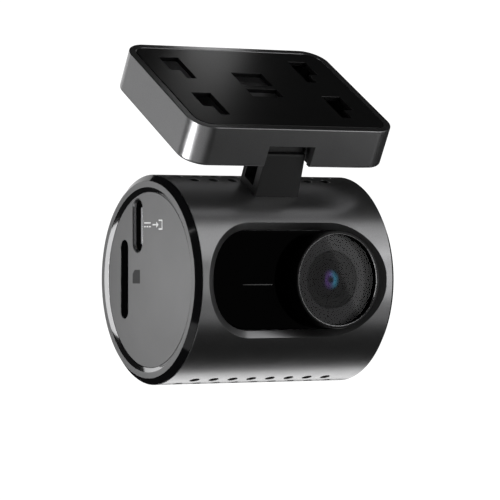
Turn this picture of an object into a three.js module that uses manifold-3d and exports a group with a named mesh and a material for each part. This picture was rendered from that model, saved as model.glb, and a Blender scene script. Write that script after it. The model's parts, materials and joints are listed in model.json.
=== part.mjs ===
// Dash camera: a barrel-shaped camera on a short hinged neck below a flat windscreen plate.
// Millimetres, +Z up, the lens looks along -Y. The origin is the middle of the plate's mounting face.
import * as THREE from "three";
import { mergeVertices } from "three/addons/utils/BufferGeometryUtils.js";
import Module from "manifold-3d";

const wasm = await Module();
wasm.setup();

// ---------------------------------------------------------------- driving dimensions
const CLEAR = 0.3; // gap between neighbouring pieces
const THROUGH = 1; // how far a cutter runs past what it cuts
const TILT = THREE.MathUtils.degToRad(30); // slope of the mounting face at rest

// windscreen plate: x across, y up the slope, z out of the mounting face
const PLATE = { width: 38.8, depth: 30.2, height: 7.1, corner: 4.1, wall: 1.25, floor: 1.2 };
const PANEL_THICK = 0.75;
const PANEL_POST = { radius: 1.6, inset: 2.2 };
const HOOK_SLOT = { inner: 10.8, wide: 3.6, narrow: 1.8, wideLength: 4.8, narrowLength: 2.9 };
const HOOK_SLOT_BACK_EDGES = [10.45, -2.55];
const LATCH_SLOT = { halfWidth: 2.95, spans: [[0.75, 5.38], [-3.25, -0.45]] };

// hinge between plate and neck
const NECK_X = -0.42; // the neck stands a little left of the middle
const HINGE = { setback: 4.25, drop: 5.3, pinRadius: 0.9, headRadius: 1.2, headThick: 0.7 };
const CLIP = { thick: 0.4, groove: 0.6 };
const WASHER = { radius: 2.1, thick: 0.5 };
const EAR = { thick: 2, behind: 2.6, above: 2.3 };
const NOTCH = { side: 0.75, lintel: 3.2, behind: 3.6 };

// neck: half widths in x, and how far its faces stand from the hinge pin
const NECK = {
  length: 7.4, top: 0.03, topWidth: 7.3, baseWidth: 8.46, edge: 0.5,
  frontTop: 2.9, frontBase: 3.78, backTop: 2.9, backBase: 2, knuckle: 2.2,
};
const NECK_WEB = 3.2;
const NECK_BARS = { front: 1.36, back: 1.15, bottom: 1.1, top: 0.3 };
const NECK_PEG = { width: 3.2, length: 5.6 };
const CLAMP = { width: 12, length: 7, thick: 1, below: 0.75 };
const SCREW = { radius: 0.55, head: 1.15, headThick: 0.8 };
const NECK_SCREW = { spacing: 3, length: 6, pilot: 3.4 };

// barrel: its axis ahead of the hinge pin, and below the foot of the neck by its own radius
const BARREL_AHEAD = 1.32;
const BARREL = { radius: 17.5, length: 36.36, wall: 1.5 };
const RING = { chamfer: 0.92, chamferWidth: 1.1, rim: 1, lipWidth: 0.74, lipDepth: 0.44, spigot: 0.72 };
const CAP_THICK = 1.2;
// rows of holes: degrees from the crown for the first row, and from one row to the next
const VENT = { radius: 0.8, pitch: 3.62, rowStep: 9.1, firstRow: 18.5, counts: [8, 9, 8, 9, 8], x: -0.45 };

// window and lens
const WINDOW = { inset: 1.23, halfHeight: 9.45, bevelWidth: 1.2, bevelDepth: 0.83, wall: 1.4 };
const GLASS = { set: 0.7, thick: 1.5, ledge: 1.2, ledgeThick: 0.8 }; // set behind the bevel's foot
const BEZEL = { gap: 0.18, wall: 0.57, rim: 0.17, floor: 0.9, shelf: 1.2 };
const BAFFLE = { gap: 0.2, thick: 0.3 };
const COVER_GLASS = { recess: 0.7, thick: 0.5 };
const LENS_TUBE = { radius: 4.5, bore: 3.6, stop: 2.8, length: 5.9 };
const HOLDER = { wall: 1.6, base: 12.4, baseThick: 1.3 };
const ELEMENT = { crown: 0.5, thick: 1.4, rearCrown: 0.4, rear: 1.2, rearInset: 1 };
const FILTER = { half: 2.9, thick: 0.4 };
const SENSOR = { halfX: 3.2, halfZ: 2.7, thick: 1, boardHalf: 7, boardThick: 0.8 };
const LIGHT = { length: 5.6, x: -5.9, z: -0.75, thick: 0.4, depth: 2.5 };
const LED = { halfX: 0.8, halfZ: 0.5, thick: 0.6, boardHalfX: 4, boardHalfZ: 1.8, boardThick: 0.8 };

// ports in the left cap, long in z
const USB = { y: 4.07, z: 9.04, halfLength: 4.55, halfWidth: 1.8, depth: 7.9 };
const USB_METAL = { lip: 0.05, wall: 0.3, lead: 0.54 }; // the mouth flares from wall to lip over the lead
const TONGUE = { halfLength: 3.05, thick: 0.7, set: 0.8 };
const CARD = { y: 8.91, halfLength: 6.65, halfWidth: 1.35, depth: 14, wall: 0.75, sheet: 0.55 };
const CARRIAGE = { halfLength: 5.2, halfWidth: 0.4, depth: 1.8, travel: 0.8 };

// button in the right cap
const BUTTON = { radius: 4.6, proud: 0.3, flange: 0.8, flangeThick: 0.8, travel: 0.6 };
const STEM = { radius: 1.5, length: 1 };
const SWITCH = { size: 5.2, thick: 1.4, plunger: 1, plungerHeight: 0.2 };
const BUTTON_BOARD = { y: [-3.2, 6], halfHeight: 5, thick: 0.8 };
const MIC = { y: 5.85, z: 10, hole: 0.5 };

// circuit boards and what they carry
const BOARD = { inset: 2.68, margin: 1.26, front: 6.25, thick: 1 };
const BOARD_SCREW = { length: 4.8, blind: 0.6 };
const POSTS = { gap: 0.36, inset: 2.9, below: 2.4, radius: 1.6 };
const FRAME = { front: 0.2, thick: 1.2, margin: 3.94, inset: 3.18, ahead: 5.2, recess: 6 };
const LUGS = { width: 3, inset: 1, sink: 1 }; // feet of the frame that reach the barrel's wall
const PROCESSOR = { x: [-3, 7], halfHeight: 5, thick: 1.2 };
const MEMORY = { x: [-3, 4], z: [-9.4, -5.8], thick: 1 };
const PAD_THICK = 0.5;
const HEAT_SINK = { x: [-6, 10.4], halfHeight: 8.5, thick: 1.2 };
const FINS = { count: 7, pitch: 2.5, thick: 0.8, height: 0.9 };
const FLEX = { fromLens: [-4, 2.5], thick: 0.2, below: 1.6, start: -3, bend: 1.2, tail: 4 };
const CAPACITOR = { radius: 2.9, halfLength: 6.5, x: [4.2, 11] };
const WIFI = { x: [-2, 6], z: [8, 12], thick: 1.4 };
const SPEAKER = { radius: 4.2, thick: 3, x: -8.5, y: -4.4, gap: 0.89 };
const MICROPHONE = { length: 2.2, thick: 1, below: [3.2, 1.2] };
const SIDES = 60; // sides of the large rounds
const SMALL = 16; // sides of the small rounds

// ---------------------------------------------------------------- sizes that follow
const BARREL_DROP = NECK.length + BARREL.radius; // from the pin down to the barrel's axis
const HINGE_V = HINGE.setback - PLATE.depth / 2;
const EAR_INNER = NECK.topWidth / 2 + WASHER.thick + 2 * CLEAR;
const EAR_OUTER = EAR_INNER + EAR.thick;
const PIN_BORE = HINGE.pinRadius + CLEAR;
const PIN_END = EAR_OUTER + CLEAR + HINGE.headThick;
const PIN_TAIL = EAR_OUTER + CLIP.thick + 3 * CLEAR;
const HALF = BARREL.length / 2; // where the end chamfers start
const INSIDE = BARREL.radius - BARREL.wall;
const FACE = HALF + RING.chamfer; // outer end face
const CAP_FACE = FACE - RING.lipDepth;
const CAP_BACK = CAP_FACE - CAP_THICK;
const RIM_OUTER = BARREL.radius - RING.chamferWidth;
const RIM_INNER = RIM_OUTER - RING.rim;
const LIP_INNER = RIM_INNER - RING.lipWidth;
const CAP_RADIUS = LIP_INNER - CLEAR;
const WINDOW_LENGTH = HALF - WINDOW.inset; // half of it
const LENS_X = WINDOW_LENGTH - WINDOW.halfHeight; // the lens shares its centre with the window's round end
const OPENING = {
  halfLength: WINDOW_LENGTH - WINDOW.bevelWidth,
  halfHeight: WINDOW.halfHeight - WINDOW.bevelWidth,
};
const BEVEL_FOOT = WINDOW.bevelDepth - Math.sqrt(BARREL.radius ** 2 - OPENING.halfHeight ** 2);
const GLASS_FRONT = BEVEL_FOOT + GLASS.set;
const GLASS_BACK = GLASS_FRONT + GLASS.thick;
const LENS_RIM = -BARREL.radius;
const HOLDER_RADIUS = LENS_TUBE.radius + CLEAR + HOLDER.wall;
const LENS_HOLE = HOLDER_RADIUS + 2 * CLEAR;
const BEZEL_RADIUS = OPENING.halfHeight - BEZEL.gap;
const BEZEL_BORE = BEZEL_RADIUS - BEZEL.wall;
const BEZEL_BACK = GLASS_FRONT - CLEAR;
const TUBE_FRONT = BEZEL_BACK - BEZEL.floor; // level with the floor inside the bezel
const TUBE_BACK = TUBE_FRONT + LENS_TUBE.length;
const BOARD_BACK = BOARD.front + BOARD.thick;
const BOARD_HALF = HALF - BOARD.inset;
const BOARD_HEIGHT = Math.sqrt(INSIDE ** 2 - BOARD_BACK ** 2) - BOARD.margin; // half of it
const FRAME_BACK = FRAME.front + FRAME.thick;
const FRAME_HALF = HALF - FRAME.inset;
const FRAME_WALL = Math.sqrt(INSIDE ** 2 - FRAME_BACK ** 2); // the barrel's wall above the frame
const FRAME_HEIGHT = FRAME_WALL - FRAME.margin; // half of it
const SENSOR_BOARD_FRONT = FRAME.front - FRAME.ahead;
const HOLDER_BACK = SENSOR_BOARD_FRONT - CLEAR;
const USB_BACK = USB.depth - CAP_FACE;
const CARD_BODY = CARD.halfWidth - 0.05;
const BUTTON_FACE = CAP_FACE + BUTTON.proud;
const FLANGE_FRONT = CAP_BACK - CLEAR;
const SWITCH_FRONT = FLANGE_FRONT - BUTTON.flangeThick - STEM.length - BUTTON.travel;

// ---------------------------------------------------------------- solids
const TO_AXIS = {
  x: new THREE.Matrix4().set(0, 0, 1, 0, 1, 0, 0, 0, 0, 1, 0, 0, 0, 0, 0, 1),
  y: new THREE.Matrix4().set(1, 0, 0, 0, 0, 0, 1, 0, 0, 1, 0, 0, 0, 0, 0, 1),
  z: new THREE.Matrix4(),
};

// Six times the volume that the triangles enclose, negative when they face inwards.
function signedVolume(points, triangles) {
  const [a, b, c] = [new THREE.Vector3(), new THREE.Vector3(), new THREE.Vector3()];
  let sum = 0;
  for (let i = 0; i < triangles.length; i += 3) {
    a.fromArray(points, triangles[i] * 3);
    b.fromArray(points, triangles[i + 1] * 3);
    c.fromArray(points, triangles[i + 2] * 3);
    sum += a.dot(b.cross(c));
  }
  return sum;
}

// A closed geometry as a solid that booleans can use, its faces turned outwards.
function solid(geometry) {
  const bare = geometry.clone();
  bare.deleteAttribute("normal");
  bare.deleteAttribute("uv");
  const merged = mergeVertices(bare, 1e-4);
  const points = merged.attributes.position.array;
  const triangles = [];
  for (let i = 0; i < merged.index.count; i += 3) {
    const [a, b, c] = merged.index.array.slice(i, i + 3);
    if (a !== b && b !== c && c !== a) triangles.push(a, b, c);
  }
  if (signedVolume(points, triangles) < 0) triangles.reverse();
  return new wasm.Manifold(
    new wasm.Mesh({ numProp: 3, vertProperties: points, triVerts: new Uint32Array(triangles) }),
  );
}

function geometryOf(shape) {
  const mesh = shape.getMesh();
  const geometry = new THREE.BufferGeometry();
  geometry.setAttribute("position", new THREE.BufferAttribute(mesh.vertProperties, 3));
  geometry.setIndex(new THREE.BufferAttribute(mesh.triVerts, 1));
  const flat = geometry.toNonIndexed();
  flat.computeVertexNormals();
  return flat;
}

const join = (first, ...rest) => rest.reduce((whole, piece) => whole.add(piece), first);
const cut = (first, ...rest) => rest.reduce((whole, piece) => whole.subtract(piece), first);

// A box between pairs of x, y and z.
function box([x0, x1], [y0, y1], [z0, z1]) {
  const geometry = new THREE.BoxGeometry(x1 - x0, y1 - y0, z1 - z0);
  return solid(geometry.translate((x0 + x1) / 2, (y0 + y1) / 2, (z0 + z1) / 2));
}

// An outline in the two other axes, extruded along one axis between two places.
function slab(axis, outline, [from, to], curveSegments = 12) {
  const options = { depth: to - from, bevelEnabled: false, curveSegments };
  const geometry = new THREE.ExtrudeGeometry(outline, options).translate(0, 0, from);
  return solid(geometry.applyMatrix4(TO_AXIS[axis]));
}

// A ring or disc turned about an axis, from [along, radius] points; at is its centre in the other axes.
function turned(axis, profile, at = [0, 0], sides = SMALL) {
  const points = profile.map(([along, radius]) => new THREE.Vector2(radius, along));
  const onAxis = points[0].x === 0 && points[points.length - 1].x === 0;
  if (!onAxis) points.push(points[0].clone());
  const geometry = new THREE.LatheGeometry(points, sides).rotateX(Math.PI / 2);
  return solid(geometry.translate(at[0], at[1], 0).applyMatrix4(TO_AXIS[axis]));
}

function rod(axis, radius, [from, to], at = [0, 0], sides = SMALL) {
  return turned(axis, [[from, 0], [from, radius], [to, radius], [to, 0]], at, sides);
}

function tube(axis, outer, inner, [from, to], at = [0, 0], sides = SMALL) {
  return turned(axis, [[from, inner], [from, outer], [to, outer], [to, inner]], at, sides);
}

// Closed rings of equal count joined into one skin, with a fan over each end.
function loft(rings) {
  const count = rings[0].length;
  const points = rings.flat(2);
  const triangles = [];
  for (let r = 0; r + 1 < rings.length; r += 1) {
    for (let i = 0; i < count; i += 1) {
      const [a, b] = [r * count + i, r * count + ((i + 1) % count)];
      triangles.push(a, b, a + count, b, b + count, a + count);
    }
  }
  const last = (rings.length - 1) * count;
  for (let i = 1; i + 1 < count; i += 1) {
    triangles.push(0, i + 1, i, last, last + i, last + i + 1);
  }
  const geometry = new THREE.BufferGeometry();
  geometry.setAttribute("position", new THREE.Float32BufferAttribute(points, 3));
  geometry.setIndex(triangles);
  return solid(geometry);
}

// ---------------------------------------------------------------- outlines
function roundedRectangle(width, depth, radius) {
  const [x, y] = [width / 2, depth / 2];
  const shape = new THREE.Shape();
  shape.absarc(x - radius, y - radius, radius, 0, Math.PI / 2);
  shape.absarc(radius - x, y - radius, radius, Math.PI / 2, Math.PI);
  shape.absarc(radius - x, radius - y, radius, Math.PI, 1.5 * Math.PI);
  shape.absarc(x - radius, radius - y, radius, 1.5 * Math.PI, 2 * Math.PI);
  shape.closePath();
  return shape;
}

// A slot with round ends, long in the first coordinate.
function stadium(halfLength, halfHeight) {
  const reach = halfLength - halfHeight;
  const shape = new THREE.Shape();
  shape.absarc(reach, 0, halfHeight, -Math.PI / 2, Math.PI / 2);
  shape.absarc(-reach, 0, halfHeight, Math.PI / 2, 1.5 * Math.PI);
  shape.closePath();
  return shape;
}

// The same slot long in the second coordinate, moved to a centre.
function uprightStadium(halfLength, halfWidth, centreX, centreY) {
  const reach = halfLength - halfWidth;
  const shape = new THREE.Shape();
  shape.absarc(centreX, centreY + reach, halfWidth, 0, Math.PI);
  shape.absarc(centreX, centreY - reach, halfWidth, Math.PI, 2 * Math.PI);
  shape.closePath();
  return shape;
}

function polygon(points) {
  return new THREE.Shape(points.map(([x, y]) => new THREE.Vector2(x, y)));
}

// A flat ribbon of even thickness along a bent path, as an outline.
function ribbon(path, thick) {
  const offset = (index) => {
    const before = new THREE.Vector2(...path[Math.max(index - 1, 0)]);
    const after = new THREE.Vector2(...path[Math.min(index + 1, path.length - 1)]);
    const along = after.sub(before).normalize().multiplyScalar(thick);
    return [path[index][0] - along.y, path[index][1] + along.x];
  };
  return polygon([...path, ...path.map((_, index) => offset(index)).reverse()]);
}

// ---------------------------------------------------------------- assembly
const part = new THREE.Group();
const plate = new THREE.Group();
const hinge = new THREE.Group();
const head = new THREE.Group();
part.add(plate);
plate.add(hinge);
hinge.add(head);
plate.rotation.x = TILT;
hinge.position.set(NECK_X, HINGE_V, -HINGE.drop);
head.position.set(-NECK_X, -BARREL_AHEAD, -BARREL_DROP);
head.rotation.x = -TILT;

const FINISHES = {
  gunmetal: { color: 0x34363a, metalness: 0.85, roughness: 0.35 },
  trim: { color: 0x2a2b2d, metalness: 0.9, roughness: 0.18 },
  grey_plastic: { color: 0x303234, metalness: 0, roughness: 0.5 },
  black_plastic: { color: 0x141415, metalness: 0, roughness: 0.55 },
  panel_plastic: { color: 0x1b1c1d, metalness: 0, roughness: 0.42 },
  window_glass: { color: 0x050506, metalness: 0, roughness: 0.05 },
  clear_glass: { color: 0xd8dde0, metalness: 0, roughness: 0.02, transparent: true, opacity: 0.3 },
  coated_glass: { color: 0x3a4a9a, metalness: 0, roughness: 0.03, transparent: true, opacity: 0.5 },
  steel: { color: 0x9a9c9e, metalness: 1, roughness: 0.3 },
  aluminium: { color: 0xb4b6b8, metalness: 1, roughness: 0.4 },
  circuit_board: { color: 0x12351f, metalness: 0, roughness: 0.45 },
  chip: { color: 0x17181a, metalness: 0, roughness: 0.5 },
  flex: { color: 0x7a4a1c, metalness: 0, roughness: 0.4 },
  light: { color: 0xdfe6ea, metalness: 0, roughness: 0.25 },
  sleeve: { color: 0x1e2a52, metalness: 0, roughness: 0.4 },
  pad: { color: 0x8aa0a8, metalness: 0, roughness: 0.8 },
};
const materials = Object.fromEntries(
  Object.entries(FINISHES).map(([name, look]) => [name, new THREE.MeshStandardMaterial(look)]),
);

function add(group, name, shape, finish) {
  const mesh = new THREE.Mesh(geometryOf(shape), materials[finish]);
  mesh.name = name;
  group.add(mesh);
}

// ---------------------------------------------------------------- plate
function plateOutline(inset) {
  const { width, depth, corner } = PLATE;
  return roundedRectangle(width - 2 * inset, depth - 2 * inset, corner - inset);
}

function plateShell() {
  const { width, depth, height, wall, floor } = PLATE;
  const tray = cut(
    slab("z", plateOutline(0), [-height, 0]),
    slab("z", plateOutline(wall), [floor - height, THROUGH]),
  );
  const ledge = -PANEL_THICK - CLEAR;
  const posts = [1, -1].flatMap((sx) =>
    [1, -1].map((sy) => {
      const at = [sx * (width / 2 - wall - PANEL_POST.inset), sy * (depth / 2 - wall - PANEL_POST.inset)];
      return rod("z", PANEL_POST.radius, [floor / 2 - height, ledge], at);
    }),
  );
  const front = -depth / 2;
  const ears = [1, -1].map((side) => {
    const across = [side * EAR_INNER, side * EAR_OUTER].sort((a, b) => a - b).map((x) => x + NECK_X);
    const along = [front + wall / 2, HINGE_V + EAR.behind];
    return box(across, along, [-height, EAR.above - HINGE.drop]);
  });
  const notchHalf = NECK.topWidth / 2 + NOTCH.side;
  const notch = [NECK_X - notchHalf, NECK_X + notchHalf];
  const well = [NECK_X - EAR_INNER, NECK_X + EAR_INNER];
  const pinEnds = [NECK_X - PIN_TAIL - CLEAR, NECK_X + PIN_END + CLEAR];
  const headRoom = HINGE.headRadius + CLEAR;
  return cut(
    join(tray, ...posts, ...ears),
    box(notch, [front - THROUGH, front + wall + CLEAR], [-height - THROUGH, -NOTCH.lintel]),
    box(well, [front + wall, HINGE_V + NOTCH.behind], [-height - THROUGH, floor - height + THROUGH]),
    rod("x", PIN_BORE, pinEnds, [HINGE_V, -HINGE.drop]),
    rod("x", headRoom, [pinEnds[0], NECK_X - EAR_OUTER], [HINGE_V, -HINGE.drop]),
    rod("x", headRoom, [NECK_X + EAR_OUTER, pinEnds[1]], [HINGE_V, -HINGE.drop]),
  );
}

// An L-shaped slot: a hook enters at its wide end and slides towards its narrow end.
function hookSlot(side, backEdge) {
  const { inner, wide, narrow, wideLength, narrowLength } = HOOK_SLOT;
  const step = backEdge - wideLength;
  const end = step - narrowLength;
  const points = [
    [inner, backEdge], [inner + wide, backEdge], [inner + wide, step],
    [inner + narrow, step], [inner + narrow, end], [inner, end],
  ];
  return slab("z", polygon(points.map(([x, y]) => [side * x, y])), [-PANEL_THICK - THROUGH, THROUGH]);
}

function platePanel() {
  const slots = [1, -1].flatMap((side) => HOOK_SLOT_BACK_EDGES.map((edge) => hookSlot(side, edge)));
  const across = [-LATCH_SLOT.halfWidth, LATCH_SLOT.halfWidth];
  const latches = LATCH_SLOT.spans.map((span) => box(across, span, [-PANEL_THICK - THROUGH, THROUGH]));
  return cut(slab("z", plateOutline(PLATE.wall + CLEAR), [-PANEL_THICK, 0]), ...slots, ...latches);
}

add(plate, "plate_shell", plateShell(), "gunmetal");
add(plate, "plate_panel", platePanel(), "panel_plastic");

// ---------------------------------------------------------------- hinge, in the frame of its pin
function hingePin() {
  const { pinRadius, headRadius } = HINGE;
  const groove = [-EAR_OUTER - CLEAR - CLIP.thick - CLEAR, -EAR_OUTER];
  const headFrom = EAR_OUTER + CLEAR;
  return turned("x", [
    [-PIN_TAIL, 0], [-PIN_TAIL, pinRadius], [groove[0], pinRadius], [groove[0], CLIP.groove],
    [groove[1], CLIP.groove], [groove[1], pinRadius], [headFrom, pinRadius], [headFrom, headRadius],
    [PIN_END, headRadius], [PIN_END, 0],
  ]);
}

add(hinge, "hinge_pin", hingePin(), "steel");
const CLIP_SPAN = [-EAR_OUTER - CLEAR - CLIP.thick, -EAR_OUTER - CLEAR];
add(hinge, "pin_clip", tube("x", HINGE.headRadius, CLIP.groove + CLEAR, CLIP_SPAN), "steel");
for (const [name, side] of [["left", -1], ["right", 1]]) {
  const inner = side * (NECK.topWidth / 2 + CLEAR);
  const span = [inner, inner + side * WASHER.thick].sort((a, b) => a - b);
  add(hinge, `friction_washer_${name}`, tube("x", WASHER.radius, PIN_BORE, span), "steel");
}

// ---------------------------------------------------------------- neck, in the frame of the hinge pin
const NECK_FOOT = BARREL.radius - BARREL_DROP; // the barrel's surface at its crown
const NECK_MIDDLE = (NECK.backBase - NECK.frontBase) / 2;
const NECK_SCREWS = [-1, 1].map((side) => [0, NECK_MIDDLE + (side * NECK_SCREW.spacing) / 2]);
const neckLean = (top, base, z) => top + ((base - top) * (NECK.top - z)) / (NECK.top - NECK_FOOT);

function neckArm() {
  const below = NECK_FOOT - THROUGH;
  const [front, back] = [
    (z) => -neckLean(NECK.frontTop, NECK.frontBase, z),
    (z) => neckLean(NECK.backTop, NECK.backBase, z),
  ];
  const corner = NECK.edge * (1 - Math.SQRT1_2);
  const side = [
    [front(NECK.top - NECK.edge), NECK.top - NECK.edge], [front(NECK.top) + corner, NECK.top - corner],
    [front(NECK.top) + NECK.edge, NECK.top], [back(NECK.top), NECK.top],
    [back(below), below], [front(below), below],
  ];
  const half = (z) => neckLean(NECK.topWidth, NECK.baseWidth, z) / 2;
  const face = [
    [-half(NECK.top), NECK.top], [half(NECK.top), NECK.top],
    [half(below), below], [-half(below), below],
  ];
  const wide = [-NECK.baseWidth, NECK.baseWidth];
  const body = slab("x", polygon(side), wide).intersect(slab("y", polygon(face), wide));
  const knuckle = rod("x", NECK.knuckle, [-NECK.topWidth / 2, NECK.topWidth / 2], [0, 0], 32);
  const barrelRoom = rod("x", BARREL.radius + CLEAR, wide, [-BARREL_AHEAD, -BARREL_DROP], SIDES);

  const top = -NECK.knuckle - NECK_BARS.top;
  const bottom = NECK_FOOT + NECK_BARS.bottom;
  const pocket = polygon([
    [front(top) + NECK_BARS.front, top], [back(top) - NECK_BARS.back, top],
    [back(bottom) - NECK_BARS.back, bottom], [front(bottom) + NECK_BARS.front, bottom],
  ]);
  const pockets = [[-NECK.baseWidth, -NECK_WEB / 2], [NECK_WEB / 2, NECK.baseWidth]].map((span) =>
    slab("x", pocket, span),
  );
  const pegAlong = [NECK_MIDDLE - NECK_PEG.length / 2, NECK_MIDDLE + NECK_PEG.length / 2];
  const pegHeight = [NECK_FOOT - BARREL.wall, NECK_FOOT + NECK_BARS.bottom / 2];
  const pilots = NECK_SCREWS.map((at) =>
    rod("z", SCREW.radius + CLEAR, [pegHeight[0] - THROUGH, NECK_FOOT + NECK_SCREW.pilot], at),
  );
  const peg = box([-NECK_PEG.width / 2, NECK_PEG.width / 2], pegAlong, pegHeight);
  return cut(
    join(cut(join(body, knuckle), barrelRoom), peg),
    rod("x", PIN_BORE, wide, [0, 0]),
    ...pockets,
    ...pilots,
  );
}

const CLAMP_TOP = NECK_FOOT - BARREL.wall - CLAMP.below;
function neckClamp() {
  const { width, length, thick } = CLAMP;
  const along = [-BARREL_AHEAD - length / 2, -BARREL_AHEAD + length / 2];
  const holes = NECK_SCREWS.map((at) =>
    rod("z", SCREW.radius + CLEAR, [CLAMP_TOP - thick - THROUGH, CLAMP_TOP + THROUGH], at),
  );
  return cut(box([-width / 2, width / 2], along, [CLAMP_TOP - thick, CLAMP_TOP]), ...holes);
}

// A screw that points along its axis in a direction, from the outer face of its head.
function screw(axis, at, headAt, direction, length) {
  const order = (a, b) => (a < b ? [a, b] : [b, a]);
  const shankFrom = headAt + (direction * SCREW.headThick) / 2;
  return join(
    rod(axis, SCREW.head, order(headAt, headAt + direction * SCREW.headThick), at),
    rod(axis, SCREW.radius, order(shankFrom, headAt + direction * length), at),
  );
}

add(hinge, "neck_arm", neckArm(), "black_plastic");
add(hinge, "neck_clamp", neckClamp(), "steel");
NECK_SCREWS.forEach((at, index) => {
  const headAt = CLAMP_TOP - CLAMP.thick - CLEAR - SCREW.headThick;
  add(hinge, `neck_screw_${index + 1}`, screw("z", at, headAt, 1, NECK_SCREW.length), "steel");
});

// ---------------------------------------------------------------- barrel
// A window outline as points, with an inset, at a depth given by a function of height.
function windowRing(inset, depthAt) {
  const outline = stadium(WINDOW_LENGTH - inset, WINDOW.halfHeight - inset);
  return outline.getPoints(16).slice(0, -1).map(({ x, y }) => {
    const height = (y * WINDOW.halfHeight) / (WINDOW.halfHeight - inset);
    return [x, depthAt(height), y];
  });
}

function windowCutter() {
  const surface = (z) => -Math.sqrt(BARREL.radius ** 2 - z ** 2);
  const seat = GLASS_BACK + CLEAR;
  return loft([
    windowRing(0, () => -BARREL.radius - THROUGH),
    windowRing(0, surface),
    windowRing(WINDOW.bevelWidth, (z) => surface(z) + WINDOW.bevelDepth),
    windowRing(WINDOW.bevelWidth, () => seat),
  ]);
}

// Something built in the neck's frame, carried into the barrel's frame.
function fromNeck(shape) {
  const geometry = geometryOf(shape).translate(NECK_X, BARREL_AHEAD, BARREL_DROP).rotateX(TILT);
  return solid(geometry);
}

function neckOpening() {
  const across = NECK_PEG.width / 2 + CLEAR;
  const along = NECK_PEG.length / 2 + CLEAR;
  const depth = [NECK_FOOT - 2 * BARREL.wall, NECK_FOOT + THROUGH];
  return fromNeck(box([-across, across], [NECK_MIDDLE - along, NECK_MIDDLE + along], depth));
}

// Room for the clamp where the window's frame comes near it.
function clampRoom() {
  const along = [-BARREL_AHEAD - CLAMP.length / 2 - CLEAR, -BARREL_AHEAD + CLAMP.length / 2 + CLEAR];
  const across = CLAMP.width / 2 + CLEAR;
  return fromNeck(box([-across, across], along, [CLAMP_TOP - CLAMP.thick - CLEAR, CLAMP_TOP + CLEAR / 2]));
}

// Staggered rows of round vents; up is 1 along the top of the barrel and -1 along the bottom.
function vents(up) {
  const holes = [];
  const neckHalf = NECK.baseWidth / 2 + VENT.radius + CLEAR;
  const neckBack = TILT - Math.asin((NECK.backBase + BARREL_AHEAD + 2 * VENT.radius) / BARREL.radius);
  VENT.counts.forEach((count, row) => {
    const angle = THREE.MathUtils.degToRad(VENT.firstRow - row * VENT.rowStep);
    for (let i = 0; i < count; i += 1) {
      const x = VENT.x + (i - (count - 1) / 2) * VENT.pitch;
      const underNeck = up > 0 && angle > neckBack && Math.abs(x - NECK_X) < neckHalf;
      if (underNeck) continue;
      const hole = new THREE.CylinderGeometry(VENT.radius, VENT.radius, BARREL.wall + 2 * THROUGH, 6);
      hole.rotateX(Math.PI / 2).translate(0, 0, up * (BARREL.radius - BARREL.wall / 2));
      holes.push(solid(hole.rotateX(up * angle).translate(x, 0, 0)));
    }
  });
  return holes;
}

function barrelHousing() {
  const { radius } = BARREL;
  const span = [CLEAR - HALF, HALF - CLEAR];
  const frame = stadium(OPENING.halfLength + WINDOW.wall, OPENING.halfHeight + WINDOW.wall);
  const ledgeBack = GLASS_BACK + CLEAR + GLASS.ledgeThick;
  const boss = slab("y", frame, [-radius, ledgeBack], 16).intersect(rod("x", radius, span, [0, 0], SIDES));
  const sight = stadium(OPENING.halfLength - GLASS.ledge, OPENING.halfHeight - GLASS.ledge);
  return cut(
    join(tube("x", radius, INSIDE, span, [0, 0], SIDES), boss),
    windowCutter(),
    slab("y", sight, [GLASS_FRONT, ledgeBack + THROUGH], 16),
    rod("y", HOLDER_RADIUS + CLEAR, [GLASS_FRONT, ledgeBack + THROUGH], [LENS_X, 0], 32),
    neckOpening(),
    clampRoom(),
    ...vents(1),
    ...vents(-1),
  );
}

add(head, "barrel_housing", barrelHousing(), "gunmetal");

// End ring and cap; side is -1 for the port end and 1 for the button end.
function trimRing(side) {
  const back = HALF - RING.spigot;
  const profile = [
    [back, LIP_INNER], [CAP_FACE, LIP_INNER], [FACE, RIM_INNER], [FACE, RIM_OUTER],
    [HALF, BARREL.radius], [HALF - CLEAR / 2, BARREL.radius], [HALF - CLEAR / 2, INSIDE - CLEAR],
    [back, INSIDE - CLEAR],
  ];
  return turned("x", profile.map(([x, r]) => [side * x, r]), [0, 0], SIDES);
}

function capDisc(side) {
  const span = side < 0 ? [-CAP_FACE, -CAP_BACK] : [CAP_BACK, CAP_FACE];
  return rod("x", CAP_RADIUS, span, [0, 0], SIDES);
}

function portPlate() {
  const through = [-CAP_FACE - THROUGH, -CAP_BACK + THROUGH];
  const { y, z, halfLength, halfWidth } = USB;
  return cut(
    capDisc(-1),
    slab("x", uprightStadium(halfLength + CLEAR, halfWidth + CLEAR, y, z), through, 8),
    slab("x", uprightStadium(CARD.halfLength, CARD.halfWidth, CARD.y, 0), through, 8),
  );
}

function buttonCap() {
  const through = [CAP_BACK - THROUGH, CAP_FACE + THROUGH];
  return cut(
    capDisc(1),
    rod("x", BUTTON.radius + CLEAR, through, [0, 0], 32),
    rod("x", MIC.hole, through, [MIC.y, MIC.z], 12),
  );
}

add(head, "left_trim_ring", trimRing(-1), "trim");
add(head, "right_trim_ring", trimRing(1), "trim");
add(head, "port_plate", portPlate(), "grey_plastic");
add(head, "button_cap", buttonCap(), "grey_plastic");

// ---------------------------------------------------------------- ports
function usbShell() {
  const { y, z, halfLength, halfWidth } = USB;
  const { lip, wall, lead } = USB_METAL;
  const inner = (grow) => uprightStadium(halfLength - grow, halfWidth - grow, y, z).getPoints(8).slice(0, -1);
  const ring = (grow, x) => inner(grow).map((point) => [x, point.x, point.y]);
  const bore = loft([
    ring(lip, -CAP_FACE - THROUGH), ring(lip, -CAP_FACE),
    ring(wall, lead - CAP_FACE), ring(wall, USB_BACK - wall),
  ]);
  return cut(slab("x", uprightStadium(halfLength, halfWidth, y, z), [-CAP_FACE, USB_BACK], 8), bore);
}

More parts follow.
